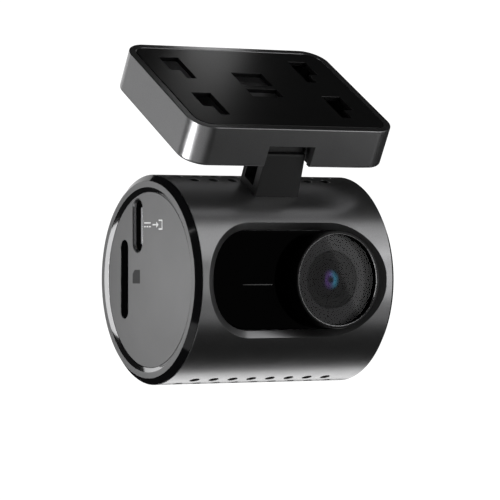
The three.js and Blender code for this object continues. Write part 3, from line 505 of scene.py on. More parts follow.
def board_material():
    """Solder mask with faint copper tracks under it."""
    n = Nodes("circuit_board")
    brick = n.add("ShaderNodeTexBrick", Vector=n.place, Scale=1 / (TRACK_PITCH * MM))
    brick.inputs["Mortar Size"].default_value = 0.03
    tracks = n.spread(brick.outputs["Fac"], 0.0, 1.0, 0.0, 1.0)
    n.bump(n.noise(0.2, 2.0), 0.2, 0.003)
    base = n.tint(tracks, (0.008, 0.055, 0.02), (0.03, 0.13, 0.05))
    return n.set(Base_Color=base, Roughness=n.spread(n.noise(0.5), 0.3, 0.5), Coat_Weight=0.3)


BOARD = board_material()
SLOT_LOOKS = {
    "gunmetal_paint": PAINT, "polished_trim": POLISHED, "grey_plastic": CAP_GREY, "black_plastic": BLACK,
    "panel_plastic": PANEL, "window_glass": WINDOW, "clear_glass": COVER, "coated_glass": COATED,
    "steel": STEEL, "aluminium": ALUMINIUM, "circuit_board": BOARD, "chip": CHIP, "flex": FLEX,
    "light": LIGHT_LINE, "sleeve": SLEEVE, "pad": PAD,
}


def lens_painted_reflection():
    """A dark lens; round its dark pupil, a small painted reflection of the coating: violet on one side and cyan on
    the other.
    """
    n = Nodes("lens_painted_reflection")
    from_axis = n.vector("SUBTRACT", n.place, middle("front_element")).outputs["Vector"]
    flat = n.vector("MULTIPLY", from_axis, (1, 0, 1)).outputs["Vector"]
    distance = n.vector("LENGTH", flat).outputs["Value"]
    across = n.add("ShaderNodeSeparateXYZ", Vector=from_axis).outputs["X"]
    # Painted reflection of the coating: violet on one side, cyan on the other, round a dark middle.
    violet, cyan = (0.13, 0.06, 0.26), (0.03, 0.17, 0.26)
    reflection_hue = n.tint(n.spread(across, 0.0, 1.0, -0.4 * MM, 0.7 * MM), violet, cyan)
    painted_reflection = n.tint(n.spread(distance, 1.0, 0.0, 1.0 * MM, 1.8 * MM), (0.001, 0.001, 0.0012), reflection_hue)
    base = n.tint(n.spread(distance, 0.0, 1.0, 0.3 * MM, 0.75 * MM), (0.006, 0.006, 0.02), painted_reflection)
    return n.set(Base_Color=base, Roughness=n.spread(n.noise(2.0), 0.12, 0.2), Metallic=1.0)


# The card socket and carriage, black parts deep in their slot, are darkened further with painted shadow.
NODE_LOOKS = {"card_socket": SHADOW_BLACK, "card_carriage": SHADOW_BLACK, "lens_barrel": TUBE_BLACK}
NODE_LOOKS["front_element"] = lens_painted_reflection()


NODE_EDGE = 0.12
NODE_EDGE_SHARE = 0.12  # of the node's thinnest side


def dress_frame():
    """Every CAD node that stays gets its own or its slot's material, and softened edges."""
    for sub in frame["record"]["subparts"]:
        node = frame["nodes"][sub["node"]]
        node.data.materials.clear()
        node.data.materials.append(NODE_LOOKS.get(sub["node"], SLOT_LOOKS[sub["material_slot"]]))
        thin = min(node.dimensions) / MM
        soften(node, min(NODE_EDGE, thin * NODE_EDGE_SHARE))
        smooth(node, 35)


dress_frame()

# ---------------------------------------------------------------- camera
VIEW_AZIMUTH = -30.09
VIEW_DISTANCE = 0.49016
LENS_MM = 208.1
LOOK_AT = BARREL_AT + Vector((0.725, 0, 4.949)) * MM


def make_camera():
    data = bpy.data.cameras.new("camera")
    data.lens = LENS_MM
    data.sensor_width = 36
    data.clip_start, data.clip_end = 0.01, 20
    camera = bpy.data.objects.new("camera", data)
    a = math.radians(VIEW_AZIMUTH)
    back = Vector((math.sin(a), -math.cos(a), 0))
    camera.location = LOOK_AT + back * VIEW_DISTANCE
    camera.rotation_mode = "QUATERNION"
    camera.rotation_quaternion = (-back).to_track_quat("-Z", "Y")
    bpy.context.scene.collection.objects.link(camera)
    bpy.context.scene.camera = camera


make_camera()

# ---------------------------------------------------------------- plate
plate_low, plate_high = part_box("plate_shell")
PLATE_WIDTH = (plate_high.x - plate_low.x) / MM
PLATE_DEPTH, PLATE_HEIGHT, PLATE_CORNER = 30.2, 7.1, 4.1
PLATE_WALL, PLATE_FLOOR, PANEL_THICK = 1.25, 1.2, 0.75
PLATE_FRONT = -PLATE_DEPTH / 2
WELL_BEHIND_PIN = 3.6
PANEL_GAP = 0.12
SLOT_CORNER = 0.12
PLATE_EDGE = 0.5  # rounding under the plate
RIM_EDGE = 0.14
PIN_V = (PLATE.inverted() @ HINGE_AT).y / MM
PIN_U = (PLATE.inverted() @ HINGE_AT).z / MM
NECK_X = HINGE_AT.x / MM
NOTCH_HALF, NOTCH_LINTEL = 4.4, 3.2
EAR_INNER, EAR_OUTER = 4.75, 6.75
EAR_BEYOND_PIN = (2.6, 2.3)  # how far an ear reaches past the pin, to the back and up
POST_RADIUS, POST_FROM_WALL = 1.6, 2.2
PIN_BORE = 1.2
OVERRUN = 1  # how far a cutter runs past what it cuts


def plate_outline(inset=0.0):
    return rounded_rectangle(PLATE_WIDTH - 2 * inset, PLATE_DEPTH - 2 * inset, PLATE_CORNER - inset)


def plate_block(steps=6):
    """The plate's outer shape, with one rounding under it and a finer one round its rim."""
    rings = []
    for k in range(steps + 1):
        a = math.radians(90 * k / steps)
        rings.append((-PLATE_HEIGHT + PLATE_EDGE * (1 - math.cos(a)), PLATE_EDGE * (math.sin(a) - 1)))
    for k in range(steps + 1):
        a = math.radians(90 + 90 * k / steps)
        rings.append((-RIM_EDGE * (1 + math.cos(a)), RIM_EDGE * (math.sin(a) - 1)))
    outline = plate_outline()
    return skin([[(x, y, z) for x, y in offset(outline, grow)] for z, grow in rings])


def plate_posts():
    """Four posts under the cover's corners."""
    low, high = -PLATE_HEIGHT + 0.6, -PANEL_THICK - 0.3
    x, y = (side / 2 - PLATE_WALL - POST_FROM_WALL for side in (PLATE_WIDTH, PLATE_DEPTH))
    places = [(sx * x, sy * y) for sx in (1, -1) for sy in (1, -1)]
    return [slab("z", circle(POST_RADIUS, 32, place), low, high) for place in places]


def plate_ears():
    """Two ears that hold the pin, one on each side of the neck."""
    ears = []
    for side in (1, -1):
        x0, x1 = sorted((side * EAR_INNER + NECK_X, side * EAR_OUTER + NECK_X))
        outline = rectangle(x0, x1, PLATE_FRONT + 0.6, PIN_V + EAR_BEYOND_PIN[0])
        ears.append(slab("z", outline, -PLATE_HEIGHT + 0.02, PIN_U + EAR_BEYOND_PIN[1]))
    return ears


def neck_clearances():
    """The notch in the front wall, the well in the floor and the pin's bore."""
    notch = rectangle(NECK_X - NOTCH_HALF, NECK_X + NOTCH_HALF, -PLATE_HEIGHT - OVERRUN, -NOTCH_LINTEL)
    inside = PLATE_FRONT + PLATE_WALL
    well = rectangle(NECK_X - EAR_INNER, NECK_X + EAR_INNER, inside, PIN_V + WELL_BEHIND_PIN)
    return [
        slab("y", notch, PLATE_FRONT - OVERRUN, inside + 0.3),
        slab("z", well, -PLATE_HEIGHT - OVERRUN, PLATE_FLOOR - PLATE_HEIGHT + OVERRUN),
        slab("x", circle(PIN_BORE, 32, (PIN_V, PIN_U)), NECK_X - 8.2, NECK_X + 8),
    ]


def make_plate():
    plate = new_object("plate_body", plate_block(), PLATE)
    cut(plate, [cutter("z", plate_outline(PLATE_WALL), PLATE_FLOOR - PLATE_HEIGHT, 0, 0.1)], PLATE)
    join(plate, plate_posts() + plate_ears(), PLATE)
    cut(plate, neck_clearances(), PLATE)
    smooth(plate)
    finish_piece(plate, "plate", PAINT, "gunmetal_paint", "plate_shell")


HOOK_SLOT = {"inner": 10.8, "wide": 3.6, "narrow": 1.8, "wide_length": 4.8, "narrow_length": 2.9}
HOOK_SLOT_BACK_EDGES = (10.45, -2.55)
LATCH_HALF, LATCH_SPANS = 2.95, ((0.75, 5.38), (-3.25, -0.45))


def hook_slot(side, back):
    """An L-shaped slot, wide at the back and narrow in front."""
    s = HOOK_SLOT
    step = back - s["wide_length"]
    end = step - s["narrow_length"]
    xs = s["inner"], s["inner"] + s["narrow"], s["inner"] + s["wide"]
    points = [(xs[0], end), (xs[1], end), (xs[1], step), (xs[2], step), (xs[2], back), (xs[0], back)]
    if side < 0:
        points = [(-x, y) for x, y in reversed(points)]
    return filleted(points, SLOT_CORNER, 3)


def make_panel():
    outline = plate_outline(PLATE_WALL + PANEL_GAP)
    panel = new_object("plate_cover", slab("z", outline, -PANEL_THICK, 0, 0.1), PLATE)
    slots = [hook_slot(side, back) for side in (1, -1) for back in HOOK_SLOT_BACK_EDGES]
    latches = [rectangle(-LATCH_HALF, LATCH_HALF, *span) for span in LATCH_SPANS]
    slots += [filleted(latch, SLOT_CORNER, 3) for latch in latches]
    cut(panel, [merged([cutter("z", s, -PANEL_THICK - 0.5, 0, 0.06) for s in slots])], PLATE)
    smooth(panel)
    finish_piece(panel, "plate", PANEL, "panel_plastic", "plate_panel")


make_plate()
make_panel()

# ---------------------------------------------------------------- neck, in the frame of its pin
NECK = {"top": 0.03, "top_half": 3.65, "base_half": 4.23, "front_top": 2.9, "front_base": 3.78,
        "back_top": 2.9, "back_base": 2.0, "knuckle": 2.2, "web": 1.6, "edge": 0.22}
POCKET = {"front_wall": 1.36, "back_wall": 1.15, "foot": 1.1, "below_knuckle": 0.3, "corner": 0.35}
PEG_HALF = (1.6, 2.8)
PEG_GAP = 0.15
PEG_V = (NECK["back_base"] - NECK["front_base"]) / 2
BARREL_RADIUS = size("barrel_housing").z / 2
barrel_from_pin = HINGE.inverted() @ BARREL_AT / MM
NECK_FOOT = barrel_from_pin.z + BARREL_RADIUS


def neck_lean(top, base, z):
    """A distance that runs straight from its value at the neck's top to that at its foot."""
    return top + (base - top) * (NECK["top"] - z) / (NECK["top"] - NECK_FOOT)


def neck_front(z):
    return -neck_lean(NECK["front_top"], NECK["front_base"], z)


def neck_back(z):
    return neck_lean(NECK["back_top"], NECK["back_base"], z)


def neck_wedge(side, below, top):
    """What is cut from one side so that the neck widens to its foot."""
    half_low, half_high = (neck_lean(NECK["top_half"], NECK["base_half"], z) for z in (below, top))
    wedge = [(half_low, below - 1), (7, below - 1), (7, top + 4), (half_high, top + 4)]
    wedge = [(side * x, y) for x, y in wedge]
    return slab("y", wedge if side > 0 else wedge[::-1], -9, 9)


def neck_pockets():
    """A hollow in each side that leaves a web between them."""
    high, low = -NECK["knuckle"] - POCKET["below_knuckle"], NECK_FOOT + POCKET["foot"]
    outline = [(neck_front(z) + POCKET["front_wall"], z) for z in (low, high)]
    outline[1:1] = [(neck_back(z) - POCKET["back_wall"], z) for z in (low, high)]
    outline = filleted(outline, POCKET["corner"], 5)
    return [cutter("x", outline, side * NECK["web"], side * 4.0, 0.0, 1.5) for side in (1, -1)]


def make_neck():
    below, top = NECK_FOOT - 1, NECK["top"]
    side = [(neck_front(below), below), (neck_back(below), below)]
    side += [(neck_back(top), top), (neck_front(top), top)]
    neck = new_object("neck", slab("x", filleted(side, (0, 0, 0.5, 0.5), 8), -5, 5), HINGE)
    cut(neck, [neck_wedge(1, below, top), neck_wedge(-1, below, top)], HINGE)
    soften(neck, NECK["edge"], 3)
    apply_modifiers(neck)
    join(neck, [slab("x", circle(NECK["knuckle"], 64), -NECK["top_half"], NECK["top_half"], 0.1)], HINGE)
    barrel = slab("x", circle(BARREL_RADIUS + 0.04, 256, (barrel_from_pin.y, barrel_from_pin.z)), -20, 20)
    cut(neck, [barrel, *neck_pockets(), slab("x", circle(PIN_BORE, 48), -8, 8)], HINGE)
    peg = rectangle(-PEG_HALF[0], PEG_HALF[0], PEG_V - PEG_HALF[1], PEG_V + PEG_HALF[1])
    join(neck, [slab("z", peg, NECK_FOOT - 1.5, NECK_FOOT + 0.5)], HINGE)
    smooth(neck)
    finish_piece(neck, "camera", BLACK, "black_plastic", "neck_arm")


make_neck()

# ---------------------------------------------------------------- barrel
BARREL_WALL = 1.5
HALF = 18.18  # where the end chamfers start
SEAM = 0.03
LONG_STEPS = 256
WINDOW_HALF = (16.95, 9.45)
BEVEL_WIDTH, BEVEL_DEPTH = 1.2, 0.83
LENS_X = 7.5
glass_low, glass_high = local("front_window")
GLASS_FRONT, GLASS_BACK = glass_low.y, glass_high.y
LIP_ROUND, FLOOR_ROUND = 0.18, 0.1  # roundings at the bevel's two edges
GLASS_SEAT, GLASS_LEDGE = 1.4, 1.2  # what stands round and behind the glass
VENT = {"radius": 0.8, "pitch": 3.62, "row_step": 9.1, "first": 18.5, "counts": (8, 9, 8, 9, 8), "x": -0.45}
VENT_EDGE = 0.07


def surface_depth(z):
    return -math.sqrt(BARREL_RADIUS**2 - z**2)


def window_ring(inset, depth_at, steps=64):
    """The window's outline at an inset, with y found from the height on the full outline."""
    half_length, half_height = WINDOW_HALF
    points = []
    for x, z in stadium(half_length - inset, half_height - inset, steps):
        height = z * half_height / (half_height - inset)
        points.append((x, depth_at(height), z))
    return points


def window_cutter():
    """The window's opening, with a bevel that follows the barrel's surface."""
    slope = BEVEL_DEPTH / BEVEL_WIDTH
    foot = BEVEL_WIDTH - FLOOR_ROUND
    stations = [(-LIP_ROUND - 0.6, -0.8), (-LIP_ROUND, 0.0)]
    stations += [(-LIP_ROUND * 0.4, LIP_ROUND * slope * 0.12), (LIP_ROUND * 0.5, LIP_ROUND * slope * 0.8)]
    stations += [(foot, foot * slope), (BEVEL_WIDTH, BEVEL_DEPTH + FLOOR_ROUND * 0.5)]
    rings = [window_ring(stations[0][0], lambda z: -BARREL_RADIUS - 2)]
    rings += [window_ring(inset, lambda z, d=depth: surface_depth(z) + d) for inset, depth in stations]
    rings.append(window_ring(BEVEL_WIDTH, lambda z: GLASS_BACK + 0.02))
    return skin(rings)


def vent_cutter(x, angle, up):
    """One round hole with a small countersink, at an angle from the barrel's top or bottom."""
    low, high = BARREL_RADIUS - BARREL_WALL - 0.6, BARREL_RADIUS - 0.02
    bm = cutter("z", circle(VENT["radius"], 32), low, high, VENT_EDGE, 0.5)
    if up < 0:
        bm.transform(Matrix.Rotation(math.pi, 4, "X"))
    bm.transform(Matrix.Rotation(math.radians(up * angle), 4, "X"))
    bm.transform(Matrix.Translation((x, 0, 0)))
    return bm


def vent_cutters(up):
    """Staggered rows of holes, clear of the neck; up is 1 on top and -1 below."""
    holes = []
    neck_reach = NECK["back_base"] - barrel_from_pin.y + 1.6
    neck_back_angle = math.degrees(TILT) - math.degrees(math.asin(neck_reach / BARREL_RADIUS))
    beside_neck = 4.1 + VENT["radius"] + 0.3
    for row, count in enumerate(VENT["counts"]):
        angle = VENT["first"] - row * VENT["row_step"]
        for i in range(count):
            x = VENT["x"] + (i - (count - 1) / 2) * VENT["pitch"]
            under_neck = up > 0 and angle > neck_back_angle and abs(x - NECK_X) < beside_neck
            if not under_neck:
                holes.append(vent_cutter(x, angle, up))
    return holes


def set_round_normals(piece, centre, radius):
    """Exact normals on a cylinder along x, so that its highlights run true across cut edges."""
    mesh = piece.data
    normals = [Vector((0, 0, 0))] * len(mesh.loops)
    for face in mesh.polygons:
        spoke = (face.center - centre).yz
        out = Vector((0, *spoke)).normalized()
        near_skin = abs(spoke.length - radius) < 0.02 * MM
        if not near_skin or abs(face.normal.dot(out)) <= 0.99:
            continue
        for loop in face.loop_indices:
            point = mesh.vertices[mesh.loops[loop].vertex_index].co - centre
            normals[loop] = Vector((0, *point.yz)).normalized()
    mesh.normals_split_custom_set([tuple(n) for n in normals])


def barrel_tube(half):
    inside = BARREL_RADIUS - BARREL_WALL
    edge = 0.04
    profile = [(-half, inside), (-half, BARREL_RADIUS - edge), (-half + edge, BARREL_RADIUS)]
    profile += [(half - edge, BARREL_RADIUS), (half, BARREL_RADIUS - edge), (half, inside)]
    return turn("x", profile, steps=LONG_STEPS)


def window_boss(half):
    """The thick frame inside the barrel that the glass sits in."""
    outline = stadium(*(side - BEVEL_WIDTH + GLASS_SEAT for side in WINDOW_HALF))
    boss = new_object("boss", slab("y", outline, -BARREL_RADIUS, GLASS_BACK + 1.1), BARREL)
    combined(boss, [slab("x", circle(BARREL_RADIUS - 0.02, LONG_STEPS), -half, half)], "INTERSECT", BARREL)
    return as_tool(boss, BARREL)


def make_barrel():
    half = HALF - SEAM
    barrel = new_object("barrel", barrel_tube(half), BARREL)
    join(barrel, [window_boss(half)], BARREL)
    sight = stadium(*(side - BEVEL_WIDTH - GLASS_LEDGE for side in WINDOW_HALF))
    cut(barrel, [window_cutter(), slab("y", sight, GLASS_FRONT, GLASS_BACK + 2)], BARREL)
    cut(barrel, [merged(vent_cutters(1) + vent_cutters(-1))], BARREL)
    half_x, half_v = (side + PEG_GAP for side in PEG_HALF)
    opening = rectangle(-half_x, half_x, PEG_V - half_v, PEG_V + half_v)
    cut(barrel, [slab("z", opening, NECK_FOOT - 3, NECK_FOOT + 1)], HINGE)
    crease(barrel, 14)
    set_round_normals(barrel, BARREL_AT, BARREL_RADIUS * MM)
    finish_piece(barrel, "camera", PAINT, "gunmetal_paint", "barrel_housing")


make_barrel()

# ---------------------------------------------------------------- end rings and caps
RING_FACE = -local("left_trim_ring")[0].x
RIM_OUTER, RIM_INNER, LIP_INNER = 16.4, 15.4, 14.66
CAP_FACE = -local("port_plate")[0].x
CAP_BACK = -local("port_plate")[1].x
CAP_RADIUS = LIP_INNER - 0.07
RING_BACK, RING_SPIGOT = HALF - 0.72, 15.7  # the ring's back, and its radius inside the barrel


def make_ring(name, side, node):
    """A chamfered end ring: black outside, grey on its face, polished on the lip round the cap."""
    profile = [(RING_BACK, LIP_INNER), (CAP_FACE, LIP_INNER), (RING_FACE, RIM_INNER), (RING_FACE, RIM_OUTER)]
    profile += [(HALF, BARREL_RADIUS), (HALF - 0.02, BARREL_RADIUS - 0.4)]
    profile += [(HALF - 0.02, RING_SPIGOT), (RING_BACK, RING_SPIGOT)]
    radii = [0.05, 0.05, 0.06, 0.08, 0.06, 0.02, 0.05, 0.05]
    profile = [(side * x, r) for x, r in filleted(profile, radii, 4)]
    ring = new_object(name, turn("x", profile, steps=LONG_STEPS), BARREL)
    smooth(ring, 20)
    finish_piece(ring, "camera", [GLOSS_BLACK, RIM_GREY, POLISHED], "polished_trim", node)
    for face in ring.data.polygons:
        radius = (face.center - BARREL_AT).yz.length / MM
        outwards = face.normal.x * side
        if outwards > 0.985 and RIM_INNER - 0.1 < radius < RIM_OUTER + 0.1:
            face.material_index = 1
        elif outwards > 0.1 and radius < RIM_INNER:
            face.material_index = 2


def cap(name, side, edge=0.05):
    low, high = sorted((side * CAP_FACE, side * CAP_BACK))
    return new_object(name, slab("x", circle(CAP_RADIUS, LONG_STEPS), low, high, edge), BARREL)


usb_low, usb_high = local("usb_shell")
USB_AT = ((usb_low.y + usb_high.y) / 2, (usb_low.z + usb_high.z) / 2)
USB_HALF = ((usb_high.z - usb_low.z) / 2, (usb_high.y - usb_low.y) / 2)
CARD_AT = (middle("card_socket").y - BARREL_AT.y) / MM, 0.0
CARD_HALF = (size("card_socket").z / 2 - 0.75, 1.35)


def make_port_cap():
    plate = cap("port_cap", -1)
    socket = upright_stadium(USB_HALF[0] + 0.05, USB_HALF[1] + 0.05, USB_AT)
    card = upright_stadium(*CARD_HALF, CARD_AT)
    mouths = ((socket, 0.0), (card, 0.1))
    tools = [cutter("x", slot, -CAP_BACK + 0.4, -CAP_FACE, edge) for slot, edge in mouths]
    cut(plate, [merged(tools)], BARREL)
    smooth(plate)
    finish_piece(plate, "camera", [CAP_GREY, SHADOW_BLACK], "grey_plastic", "port_plate")
    # Painted shadow: the walls inside the socket and card slots turn near-black.
    for face in plate.data.polygons:
        radius = (face.center - BARREL_AT).yz.length / MM
        if abs(face.normal.x) < 0.4 and radius < CAP_RADIUS - 0.5:
            face.material_index = 1


def make_usb_shell():
    """The socket's steel shell, its mouth opened by a funnel."""
    half_length, half_width = USB_HALF
    lip, wall, lead = 0.04, 0.3, 0.54
    back = usb_high.x
    outline = upright_stadium(half_length, half_width, USB_AT)
    shell = new_object("usb_socket", slab("x", outline, usb_low.x, back, 0.03), BARREL)
    stations = [(usb_low.x - 0.5, lip), (usb_low.x, lip), (usb_low.x + lead, wall), (back - 0.4, wall)]
    rings = [[(x, y, z) for y, z in offset(outline, -inset)] for x, inset in stations]
    cut(shell, [skin(rings)], BARREL)
    smooth(shell)
    finish_piece(shell, "camera", [STEEL, SHADOW_BLACK], "steel", "usb_shell")
    # Painted shadow: the shell's inside past its funnel turns near-black.
    for face in shell.data.polygons:
        depth = (face.center - BARREL_AT).x / MM - usb_low.x
        if depth > lead * 0.9 and face.normal.x < 0.5:
            face.material_index = 1


CONTACTS, CONTACT_MARGIN = 12, 0.55


def make_usb_tongue():
    """The tongue, with a row of contacts on each side."""
    low, high = local("usb_tongue")
    outline = rectangle(low.y, high.y, low.z, high.z)
    tongue = new_object("usb_insert", slab("x", outline, low.x, high.x, 0.12), BARREL)
    smooth(tongue, 30)
    finish_piece(tongue, "camera", TONGUE, "chip", "usb_tongue")
    pads = []
    for side in (low.y - 0.015, high.y + 0.015):
        for i in range(CONTACTS):
            z = low.z + CONTACT_MARGIN + i * (high.z - low.z - 2 * CONTACT_MARGIN) / (CONTACTS - 1)
            outline = rectangle(side - 0.02, side + 0.02, z - 0.12, z + 0.12)
            pads.append(slab("x", outline, low.x + 0.4, low.x + 3.4))
    finish_piece(new_object("usb_contacts", merged(pads), BARREL), "camera", BRASS, "steel")


def printed(name, outlines, material):
    """Marks printed on the port cap: outlines in (towards the lens side, up), a hair above the face."""
    shapes = []
    for outline in outlines:
        points = [(-y, z) for y, z in outline]
        shapes.append(slab("x", points[::-1], -CAP_FACE - 0.012, -CAP_FACE + 0.05))
    finish_piece(new_object(name, merged(shapes), BARREL), "camera", material, "grey_plastic")


def bar(x0, x1, y0, y1):
    return filleted(rectangle(x0, x1, y0, y1), 0.05, 3)


POWER_MARK_AT = (1.45, 9.14)  # towards the lens side, up
CARD_MARK_AT = (-4.55, 0.48)


def make_marks():
    """A direct-current sign with an arrow into a socket, and a memory card."""
    x, z = POWER_MARK_AT
    power = [bar(x - 3.2, x - 0.9, z + 0.2, z + 0.42)]
    power += [bar(x - 3.2 + i * 0.87, x - 2.64 + i * 0.87, z - 0.42, z - 0.2) for i in range(3)]
    power.append(bar(x - 0.2, x + 1.25, z - 0.11, z + 0.11))
    power.append([(x + 1.1, z - 0.52), (x + 1.85, z), (x + 1.1, z + 0.52)])
    socket = [(x + 1.9, z - 0.83), (x + 3.2, z - 0.83), (x + 3.2, z + 0.83), (x + 1.9, z + 0.83)]
    inner = [(x + 1.9, z + 0.61), (x + 2.98, z + 0.61), (x + 2.98, z - 0.61), (x + 1.9, z - 0.61)]
    power.append(socket + inner)
    printed("power_mark", power, INK)
    x, z = CARD_MARK_AT
    card = [(x - 1.3, z - 1.15), (x + 1.3, z - 1.15), (x + 1.3, z + 1.15)]
    card += [(x - 0.55, z + 1.15), (x - 1.3, z + 0.45)]
    printed("card_mark", [filleted(card, 0.15, 3)], DARK_INK)


make_ring("left_ring", -1, "left_trim_ring")
make_ring("right_ring", 1, "right_trim_ring")
make_port_cap()
make_usb_shell()
make_usb_tongue()
make_marks()

# ---------------------------------------------------------------- button end
button_low, button_high = local("function_button")
BUTTON_RADIUS = 4.6
BUTTON_FLANGE, BUTTON_STEM = 5.4, 1.5  # radii behind the cap
STEM_GAP = 0.04  # keeps the pressed stem clear of its switch
MICROPHONE_AT = (5.85, 10)


def make_button_cap():
    plate = cap("button_plate", 1)
    tools = [
        cutter("x", circle(BUTTON_RADIUS + 0.1, 96), CAP_BACK - 0.4, CAP_FACE, 0.15),
        cutter("x", circle(0.5, 32, MICROPHONE_AT), CAP_BACK - 0.4, CAP_FACE, 0.08),
    ]
    cut(plate, [merged(tools)], BARREL)
    smooth(plate)
    finish_piece(plate, "camera", CAP_GREY, "grey_plastic", "button_cap")


def make_button():
    """A dished button with a raised ring, its flange behind the cap."""
    top, low = button_high.x, button_low.x + STEM_GAP
    flange = CAP_BACK - 0.3
    behind = flange - 0.8
    profile = [(low, 0), (low, BUTTON_STEM), (behind, BUTTON_STEM), (behind, BUTTON_FLANGE)]
    profile += [(flange, BUTTON_FLANGE), (flange, BUTTON_RADIUS), (top, BUTTON_RADIUS)]
    profile += [(top, BUTTON_RADIUS - 0.5), (top - 0.22, BUTTON_RADIUS - 0.8), (top - 0.35, 0)]
    radii = [0, 0.1, 0.1, 0.1, 0.1, 0.05, 0.12, 0.08, 0.15, 0]
    button = new_object("button", turn("x", filleted(profile, radii, 4)), BARREL)
    smooth(button)
    finish_piece(button, "button", RIM_GREY, "grey_plastic", "function_button")
    mark = arc((0, 0), 1.5, -60, 240, 40) + arc((0, 0), 1.25, 240, -60, 40)
    stroke = rectangle(-0.12, 0.12, 0.55, 1.75)
    shapes = [slab("x", shape, top - 0.4, top - 0.33) for shape in (mark, stroke)]
    finish_piece(new_object("button_mark", merged(shapes), BARREL), "button", INK, "grey_plastic")


make_button_cap()
make_button()

# ---------------------------------------------------------------- window and lens
bezel_low, bezel_high = local("lens_bezel")
LENS_RIM = bezel_low.y
BEZEL_RADIUS, BEZEL_BORE = 8.07, 7.5
BEZEL_SHELF = 6.0
LINE_HALF = 0.06
HAIR = 0.012  # how far something printed or inlaid stands proud
OPENING = (WINDOW_HALF[0] - BEVEL_WIDTH, WINDOW_HALF[1] - BEVEL_WIDTH)


def make_window():
    outline = stadium(OPENING[0] - 0.05, OPENING[1] - 0.05, 64)
    window = new_object("window", slab("y", outline, GLASS_FRONT, GLASS_BACK, 0.35, 2), BARREL)
    lens_hole = circle(BEZEL_BORE - 0.5, 96, (LENS_X, 0))
    cut(window, [slab("y", lens_hole, GLASS_FRONT - OVERRUN, GLASS_BACK + OVERRUN)], BARREL)
    smooth(window)
    finish_piece(window, "camera", WINDOW, "window_glass", "front_window")
    low, high = local("light_guide")
    z = (low.z + high.z) / 2
    line = bar(low.x, high.x, z - LINE_HALF, z + LINE_HALF)
    strip = new_object("light_line", slab("y", line, GLASS_FRONT - HAIR, GLASS_FRONT + 0.05), BARREL)
    finish_piece(strip, "camera", LIGHT_LINE, "light")


def make_bezel():
    """The ring round the lens; a bright metal band on its inner edge is a painted highlight."""
    back = GLASS_FRONT - 0.02
    floor = bezel_high.y - 0.9
    profile = [(back, BEZEL_SHELF), (back, BEZEL_RADIUS), (LENS_RIM, BEZEL_RADIUS)]
    profile += [(LENS_RIM, BEZEL_BORE + 0.12), (LENS_RIM + 0.2, BEZEL_BORE), (floor, BEZEL_BORE)]
    profile.append((floor, BEZEL_SHELF))
    radii = [0.05, 0.05, 0.14, 0.06, 0.1, 0.05, 0.05]
    bezel = new_object("bezel", turn("y", filleted(profile, radii, 4), (LENS_X, 0), 192), BARREL)
    smooth(bezel, 24)
    finish_piece(bezel, "camera", [GLOSSY_BEZEL, BEZEL_PAINTED_HIGHLIGHT], "black_plastic", "lens_bezel")
    axis = BARREL_AT + Vector((LENS_X, 0, 0)) * MM
    # Painted highlight: the faces round the bore's front edge take the bright metal.
    for face in bezel.data.polygons:
        radius = (face.center - axis).xz.length / MM
        depth = (face.center - axis).y / MM - LENS_RIM
        if depth < 0.16 and BEZEL_BORE < radius < BEZEL_BORE + 0.2:
            face.material_index = 1


BAFFLE_BORE = 4.8


def make_baffle():
    low, high = local("lens_baffle")
    rim = BEZEL_BORE - 0.05
    profile = [(high.y, BAFFLE_BORE), (high.y, rim), (low.y, rim), (low.y, BAFFLE_BORE + 0.1)]
    profile.append((low.y + 0.06, BAFFLE_BORE))
    baffle = new_object("baffle", turn("y", profile, (LENS_X, 0), 192), BARREL)
    smooth(baffle, 24)
    finish_piece(baffle, "camera", BAFFLE, "grey_plastic", "lens_baffle")


def make_cover_glass():
    low, high = local("lens_cover_glass")
    outline = circle(BEZEL_BORE - 0.04, 192, (LENS_X, 0))
    glass = new_object("cover_glass", slab("y", outline, low.y, high.y, 0.05), BARREL)
    smooth(glass)
    finish_piece(glass, "camera", COVER, "clear_glass", "lens_cover_glass")


make_window()
make_bezel()
make_baffle()
make_cover_glass()

# ---------------------------------------------------------------- stage and light
FLOOR_DROP = 1.0


def make_floor():
    """A plain white floor that the object neither reflects nor takes light from."""
    mesh = bpy.data.meshes.new("floor")
    z = cad_low.z - FLOOR_DROP
    reach = 8.0
    corners = [(x, y, z) for x, y in rectangle(-reach, reach, -reach, reach)]
    mesh.from_pydata(corners, [], [(0, 1, 2, 3)])
    floor = bpy.data.objects.new("floor", mesh)
    bpy.context.scene.collection.objects.link(floor)
    n = Nodes("floor")
    n.set(Base_Color=(0.9, 0.9, 0.9, 1), Roughness=0.9, Emission_Color=(1, 1, 1, 1), Emission_Strength=1.0)
    mesh.materials.append(n.material)
    floor.visible_glossy = False
    floor.visible_diffuse = False


SEEN, FELT = 1.1, 0.012  # the world's brightness behind the object, and on it


def make_world():
    """White to the camera, and nearly dark to the object, which the softboxes light."""
    world = bpy.data.worlds.new("world")
    bpy.context.scene.world = world
    world.use_nodes = True
    tree = world.node_tree
    tree.nodes.clear()
    path = tree.nodes.new("ShaderNodeLightPath")
    mix = tree.nodes.new("ShaderNodeMixShader")
    out = tree.nodes.new("ShaderNodeOutputWorld")
    tree.links.new(path.outputs["Is Camera Ray"], mix.inputs["Fac"])
    for place, strength in ((1, FELT), (2, SEEN)):
        background = tree.nodes.new("ShaderNodeBackground")
        background.inputs["Color"].default_value = (1, 1, 1, 1)
        background.inputs["Strength"].default_value = strength
        tree.links.new(background.outputs[0], mix.inputs[place])
    tree.links.new(mix.outputs[0], out.inputs[0])


def area_light(name, wide, high, radiance, at, away, roll=Matrix.Identity(4)):
    """A rectangular light at a point, shining back along away; the camera doesn't see it."""
    data = bpy.data.lights.new(name, "AREA")
    data.shape = "RECTANGLE"
    data.size, data.size_y = wide, high
    data.energy = math.pi * wide * high * radiance
    light = bpy.data.objects.new(name, data)
    light.matrix_world = Matrix.Translation(at) @ roll @ away.to_track_quat("Z", "Y").to_matrix().to_4x4()
    light.visible_camera = False
    bpy.context.scene.collection.objects.link(light)


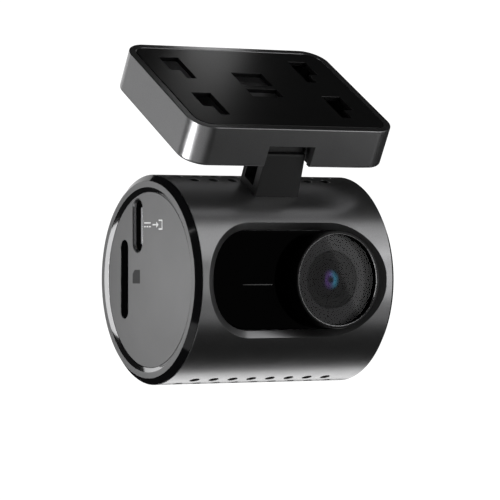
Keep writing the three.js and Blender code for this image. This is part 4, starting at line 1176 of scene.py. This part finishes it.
def softbox(name, azimuth, elevation, wide, high, radiance, distance=0.8, aim=(cad_low + cad_high) / 2):
    """A soft light aimed at a point, its place and spread in degrees seen from that point.

    Azimuth 0 is in front of the lens and 90 is at the object's right.
    """
    a, e = math.radians(azimuth), math.radians(elevation)
    away = Vector((math.sin(a) * math.cos(e), -math.cos(a) * math.cos(e), math.sin(e)))
    wide, high = (2 * distance * math.tan(math.radians(spread / 2)) for spread in (wide, high))
    area_light(name, wide, high, radiance, aim + away * distance, away)


def mirrored(x):
    """A point on the flat glass, x in millimetres, and the level direction that the camera sees in it."""
    point = BARREL_AT + Vector((x, GLASS_FRONT, 0)) * MM
    ray = (point - bpy.context.scene.camera.location).normalized()
    return point, Vector((ray.x, -ray.y, 0)).normalized()


def pane(name, edge_x, width, low, high, lean, radiance, distance):
    """An upright panel whose left edge shows in the flat glass at edge_x; lean tips its top in degrees."""
    point, away = mirrored(edge_x)
    side = Vector((-away.y, away.x, 0))
    roll = Matrix.Rotation(math.radians(lean), 4, away)
    to_middle = roll @ (side * width / 2 + Vector((0, 0, (low + high) / 2)))
    area_light(name, width, high - low, radiance, point + away * distance + to_middle, away, roll)


make_floor()
make_world()
softbox("key", 38, 34, 30, 36, 1.25)
softbox("key_middle", 33, -3, 26, 28, 0.8)
softbox("key_low", 42, -29, 34, 24, 0.42)
pane("pane_right", 7.5, 0.06, -0.03, 0.03, 22, 0.9, 0.07)
softbox("left", -95, 0, 26, 66, 1.4)
softbox("left_back", -150, 0, 30, 24, 0.6)
softbox("disc_front", -100, 0, 28, 28, 11, 0.04, BARREL_AT + Vector((-CAP_FACE, -14, 0)) * MM)
softbox("panel_glow", 133, 46, 16, 12, 1.5, 0.04, PLATE @ (Vector((-3, 15.5, 0)) * MM))
softbox("back", 178, 18, 44, 26, 1.0)
softbox("back_right", 150, 4, 24, 12, 0.7)
softbox("low_back", 143, -35, 34, 28, 1.7)
softbox("low_left", -48, -45, 70, 24, 0.5)
bpy.context.scene.view_settings.view_transform = "Standard"
